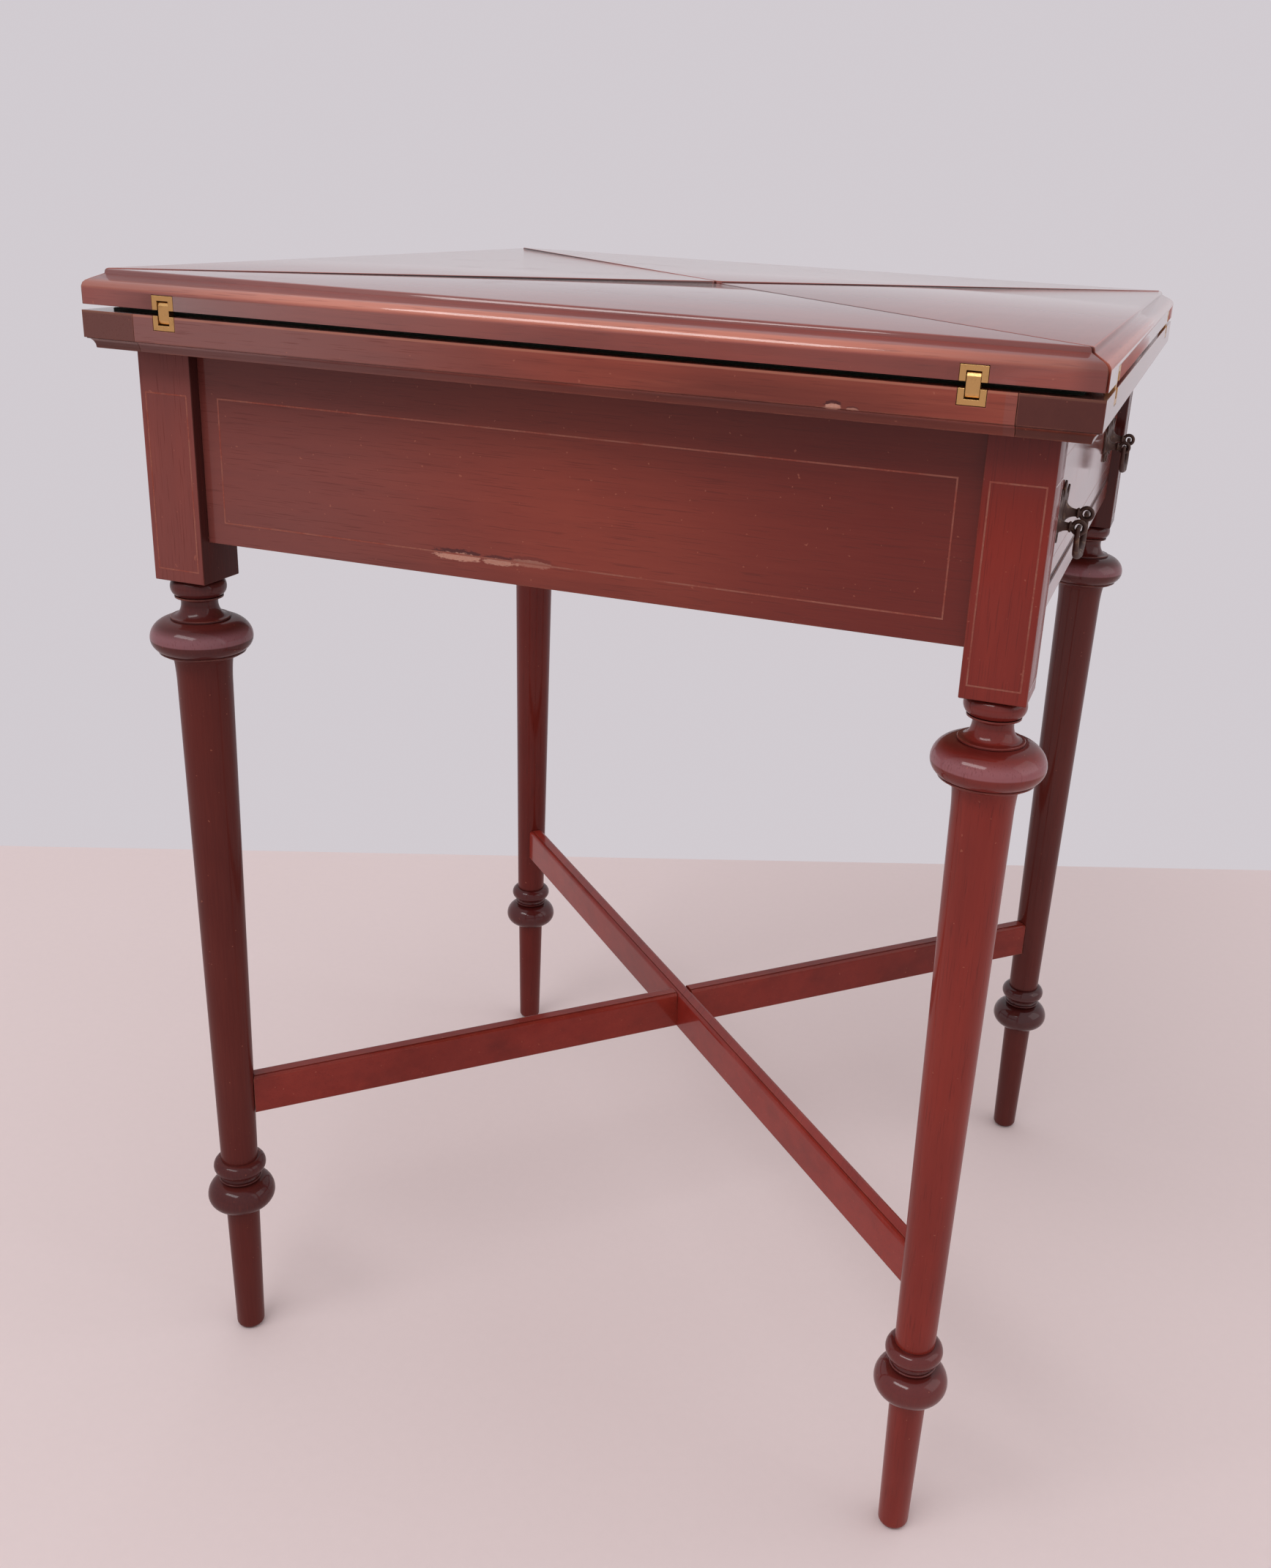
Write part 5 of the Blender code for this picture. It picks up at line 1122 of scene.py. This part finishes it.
class CARDTABLE_OT_finish_drawer(Step, bpy.types.Operator):
    """Finish the drawer: polished front, plain sides, back and bottom"""

    bl_idname = "cardtable.finish_drawer"
    bl_label = "Finish the drawer"

    def execute(self, context):
        look = context.scene.card_table_plain_wood
        # Painted shade along the drawer front's bottom edge, at the gap above the rail.
        grime = below(ALONG_Z, drawer_low.z + 0.0020, drawer_low.z + 0.0034, 0.9, "grime")
        dress(polished_wood("drawer_front_polish", ALONG_Y, 40.0, 0.95, tints=(grime,), calm=0.2),
              "drawer_front")
        plain = {"drawer_side_near": ALONG_X, "drawer_side_far": ALONG_X, "drawer_back": ALONG_Y,
                 "drawer_bottom": ALONG_Y}
        for number, (node, along) in enumerate(plain.items()):
            dress(plain_wood(node + "_wood", along, 41.0 + number, look.drawer_dark, look.drawer_light,
                             rubbed=0.5), node)
        return {'FINISHED'}


class CARDTABLE_OT_cast_handles(Step, bpy.types.Operator):
    """Cast the shaped back plates and the swinging bails in dark bronze"""

    bl_idname = "cardtable.cast_handles"
    bl_label = "Cast the handles"

    def execute(self, context):
        look = context.scene.card_table_metal
        for number, place in enumerate(("near", "far")):
            material = rubbed_metal("handle_bronze_" + place, 46.0 + number, look.rubbed, look.bronze,
                                    shares=(0.22, 0.48), roughness=0.38, fine=0.0004)
            plate, bail = "handle_plate_" + place, "handle_bail_" + place
            low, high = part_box(plate)
            middle, reach = (low.y + high.y) / 2, high.x - 0.0040
            shape = handle_plate_shape(middle, drawer_high.x + 0.0002, reach)
            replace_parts(shown(plate + "_cast", shape, material, "drawer", 50.0), plate)
            shape = bail_shape(middle, reach)
            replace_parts(shown(bail + "_cast", shape, material, "bail_" + place, 60.0), bail)
        return {'FINISHED'}


class CARDTABLE_OT_finish_inside(Step, bpy.types.Operator):
    """Finish the bearer, the drawer channels and the iron swivel"""

    bl_idname = "cardtable.finish_inside"
    bl_label = "Finish the inside"

    def execute(self, context):
        wood = context.scene.card_table_plain_wood
        metal = context.scene.card_table_metal
        colours = wood.inside_dark, wood.inside_light
        dress(plain_wood("bearer_wood", ALONG_Y, 50.0, *colours), "pivot_bearer")
        for number, node in enumerate(("drawer_channel_near", "drawer_channel_far")):
            dress(plain_wood(node + "_wood", ALONG_X, 51.0 + number, *colours, rubbed=0.8), node)
        dress(rubbed_metal("swivel_iron", 53.0, metal.iron, metal.rust, shares=(0.46, 0.70),
                           roughness=0.48, fine=0.0006), "pivot_stud")
        return {'FINISHED'}


class CARDTABLE_OT_set_stage(Step, bpy.types.Operator):
    """Lay the plain floor, light it softly and set the camera"""

    bl_idname = "cardtable.set_stage"
    bl_label = "Set the stage"

    def execute(self, context):
        look = context.scene.card_table_stage
        self.lay_floor(look)
        self.light_world(context.scene, look)
        self.hang_lamp("key_lamp", (-0.7, -1.9, 2.7), (2.2, 0.7), look.key)
        self.hang_lamp("side_lamp", (2.6, 0.2, 1.8), (2.2, 2.2), look.side)
        self.set_camera(context.scene, look)
        context.scene.view_settings.view_transform = 'Standard'
        return {'FINISHED'}

    def lay_floor(self, look):
        """Floor that ends in a straight line behind the table."""
        finish = Finish("plain_floor")
        place = finish.place()
        speckle = finish.noise(place, 130.0, 4.0, 0.6)
        shade = tuple(0.965 * channel for channel in look.floor)
        finish.shade(Base_Color=finish.mix(speckle, look.floor, shade), Roughness=0.8,
                     Specular_IOR_Level=0.2)
        turn = Matrix.Rotation(math.radians(22.6), 4, 'Z')
        reach, back, drop = 30.0, 0.714, 0.0002
        corners = ((-reach, -reach), (reach, -reach), (reach, back), (-reach, back))
        mesh = bpy.data.meshes.new("plain_floor")
        mesh.from_pydata([turn @ Vector((x, y, -drop)) for x, y in corners], [], [(0, 1, 2, 3)])
        mesh.materials.append(finish.material)
        floor = bpy.data.objects.new("plain_floor", mesh)
        bpy.context.scene.collection.objects.link(floor)

    def light_world(self, scene, look):
        """Even soft light, with the wall's colour seen behind the table and in its gloss."""
        world = bpy.data.worlds.new("soft_room")
        scene.world = world
        world.use_nodes = True
        tree = world.node_tree
        tree.nodes.clear()
        out, mixed, light, seen, path, either = (tree.nodes.new('ShaderNode' + kind) for kind in (
            "OutputWorld", "MixShader", "Background", "Background", "LightPath", "Math"))
        light.inputs["Color"].default_value = (1.0, 0.975, 0.985, 1.0)
        light.inputs["Strength"].default_value = look.sky
        seen.inputs["Color"].default_value = (*look.wall, 1.0)
        either.operation = 'MAXIMUM'
        tree.links.new(path.outputs["Is Camera Ray"], either.inputs[0])
        tree.links.new(path.outputs["Is Glossy Ray"], either.inputs[1])
        tree.links.new(either.outputs[0], mixed.inputs[0])
        tree.links.new(light.outputs[0], mixed.inputs[1])
        tree.links.new(seen.outputs[0], mixed.inputs[2])
        tree.links.new(mixed.outputs[0], out.inputs["Surface"])

    def hang_lamp(self, name, place, size, power):
        """Wide soft lamp that faces the middle of the table."""
        lamp = bpy.data.lights.new(name, 'AREA')
        lamp.shape = 'RECTANGLE'
        lamp.size, lamp.size_y = size
        lamp.energy = power
        item = bpy.data.objects.new(name, lamp)
        item.location = place
        item.visible_camera = False
        aim = Vector((0.0, 0.0, 0.45)) - Vector(place)
        item.rotation_euler = aim.to_track_quat('-Z', 'Y').to_euler()
        bpy.context.scene.collection.objects.link(item)

    def set_camera(self, scene, look):
        """Camera at the photograph's place and angle."""
        data = bpy.data.cameras.new("photo_camera")
        camera = bpy.data.objects.new("photo_camera", data)
        scene.collection.objects.link(camera)
        scene.camera = camera
        yaw, pitch, roll = (math.radians(angle) for angle in CAMERA_TURN)
        ahead = Vector((-math.sin(yaw) * math.cos(pitch), math.cos(yaw) * math.cos(pitch), math.sin(pitch)))
        level = Vector((math.cos(yaw), math.sin(yaw), 0.0))
        overhead = level.cross(ahead)
        right = level * math.cos(roll) + overhead * math.sin(roll)
        up = overhead * math.cos(roll) - level * math.sin(roll)
        pose = Matrix((right, up, -ahead)).transposed().to_4x4()
        pose.translation = Vector(CAMERA_PLACE)
        camera.matrix_world = pose
        data.sensor_width = 36.0
        data.sensor_fit = 'AUTO'
        data.lens = look.lens
        data.shift_x, data.shift_y = CAMERA_SHIFT
        data.clip_start = 0.02
        data.clip_end = 200.0


class CARDTABLE_PT_workbench(bpy.types.Panel):
    """The steps that dress the card table, in order"""

    bl_idname = "CARDTABLE_PT_workbench"
    bl_label = "Card table"
    bl_space_type = 'VIEW_3D'
    bl_region_type = 'UI'
    bl_category = "Card table"

    def draw(self, context):
        column = self.layout.column(align=True)
        for operator in OPERATORS:
            column.operator(operator.bl_idname)
        for name, kind in SETTINGS.items():
            box = self.layout.box()
            box.label(text=kind.__doc__)
            group = getattr(context.scene, name)
            for key in kind.__annotations__:
                box.prop(group, key)


SETTINGS = {
    "card_table_polish": PolishSettings,
    "card_table_plain_wood": PlainWoodSettings,
    "card_table_flaps": FlapSettings,
    "card_table_legs": LegSettings,
    "card_table_line": LineSettings,
    "card_table_metal": MetalSettings,
    "card_table_cloth": ClothSettings,
    "card_table_stage": StageSettings,
}
OPERATORS = (
    CARDTABLE_OT_finish_top,
    CARDTABLE_OT_shape_flaps,
    CARDTABLE_OT_finish_frame,
    CARDTABLE_OT_turn_legs,
    CARDTABLE_OT_finish_stretcher,
    CARDTABLE_OT_run_lines,
    CARDTABLE_OT_fit_hinges,
    CARDTABLE_OT_lay_baize,
    CARDTABLE_OT_finish_drawer,
    CARDTABLE_OT_cast_handles,
    CARDTABLE_OT_finish_inside,
    CARDTABLE_OT_set_stage,
)
CLASSES = (*SETTINGS.values(), *OPERATORS, CARDTABLE_PT_workbench)


def register():
    for kind in CLASSES:
        bpy.utils.register_class(kind)
    for name, kind in SETTINGS.items():
        setattr(bpy.types.Scene, name, PointerProperty(type=kind))


def unregister():
    for name in SETTINGS:
        delattr(bpy.types.Scene, name)
    for kind in reversed(CLASSES):
        bpy.utils.unregister_class(kind)


def main():
    register()
    bpy.ops.cardtable.finish_top()
    bpy.ops.cardtable.shape_flaps()
    bpy.ops.cardtable.finish_frame()
    bpy.ops.cardtable.turn_legs()
    bpy.ops.cardtable.finish_stretcher()
    bpy.ops.cardtable.run_lines()
    bpy.ops.cardtable.fit_hinges()
    bpy.ops.cardtable.lay_baize()
    bpy.ops.cardtable.finish_drawer()
    bpy.ops.cardtable.cast_handles()
    bpy.ops.cardtable.finish_inside()
    bpy.ops.cardtable.set_stage()


if __name__ == "__main__":
    main()
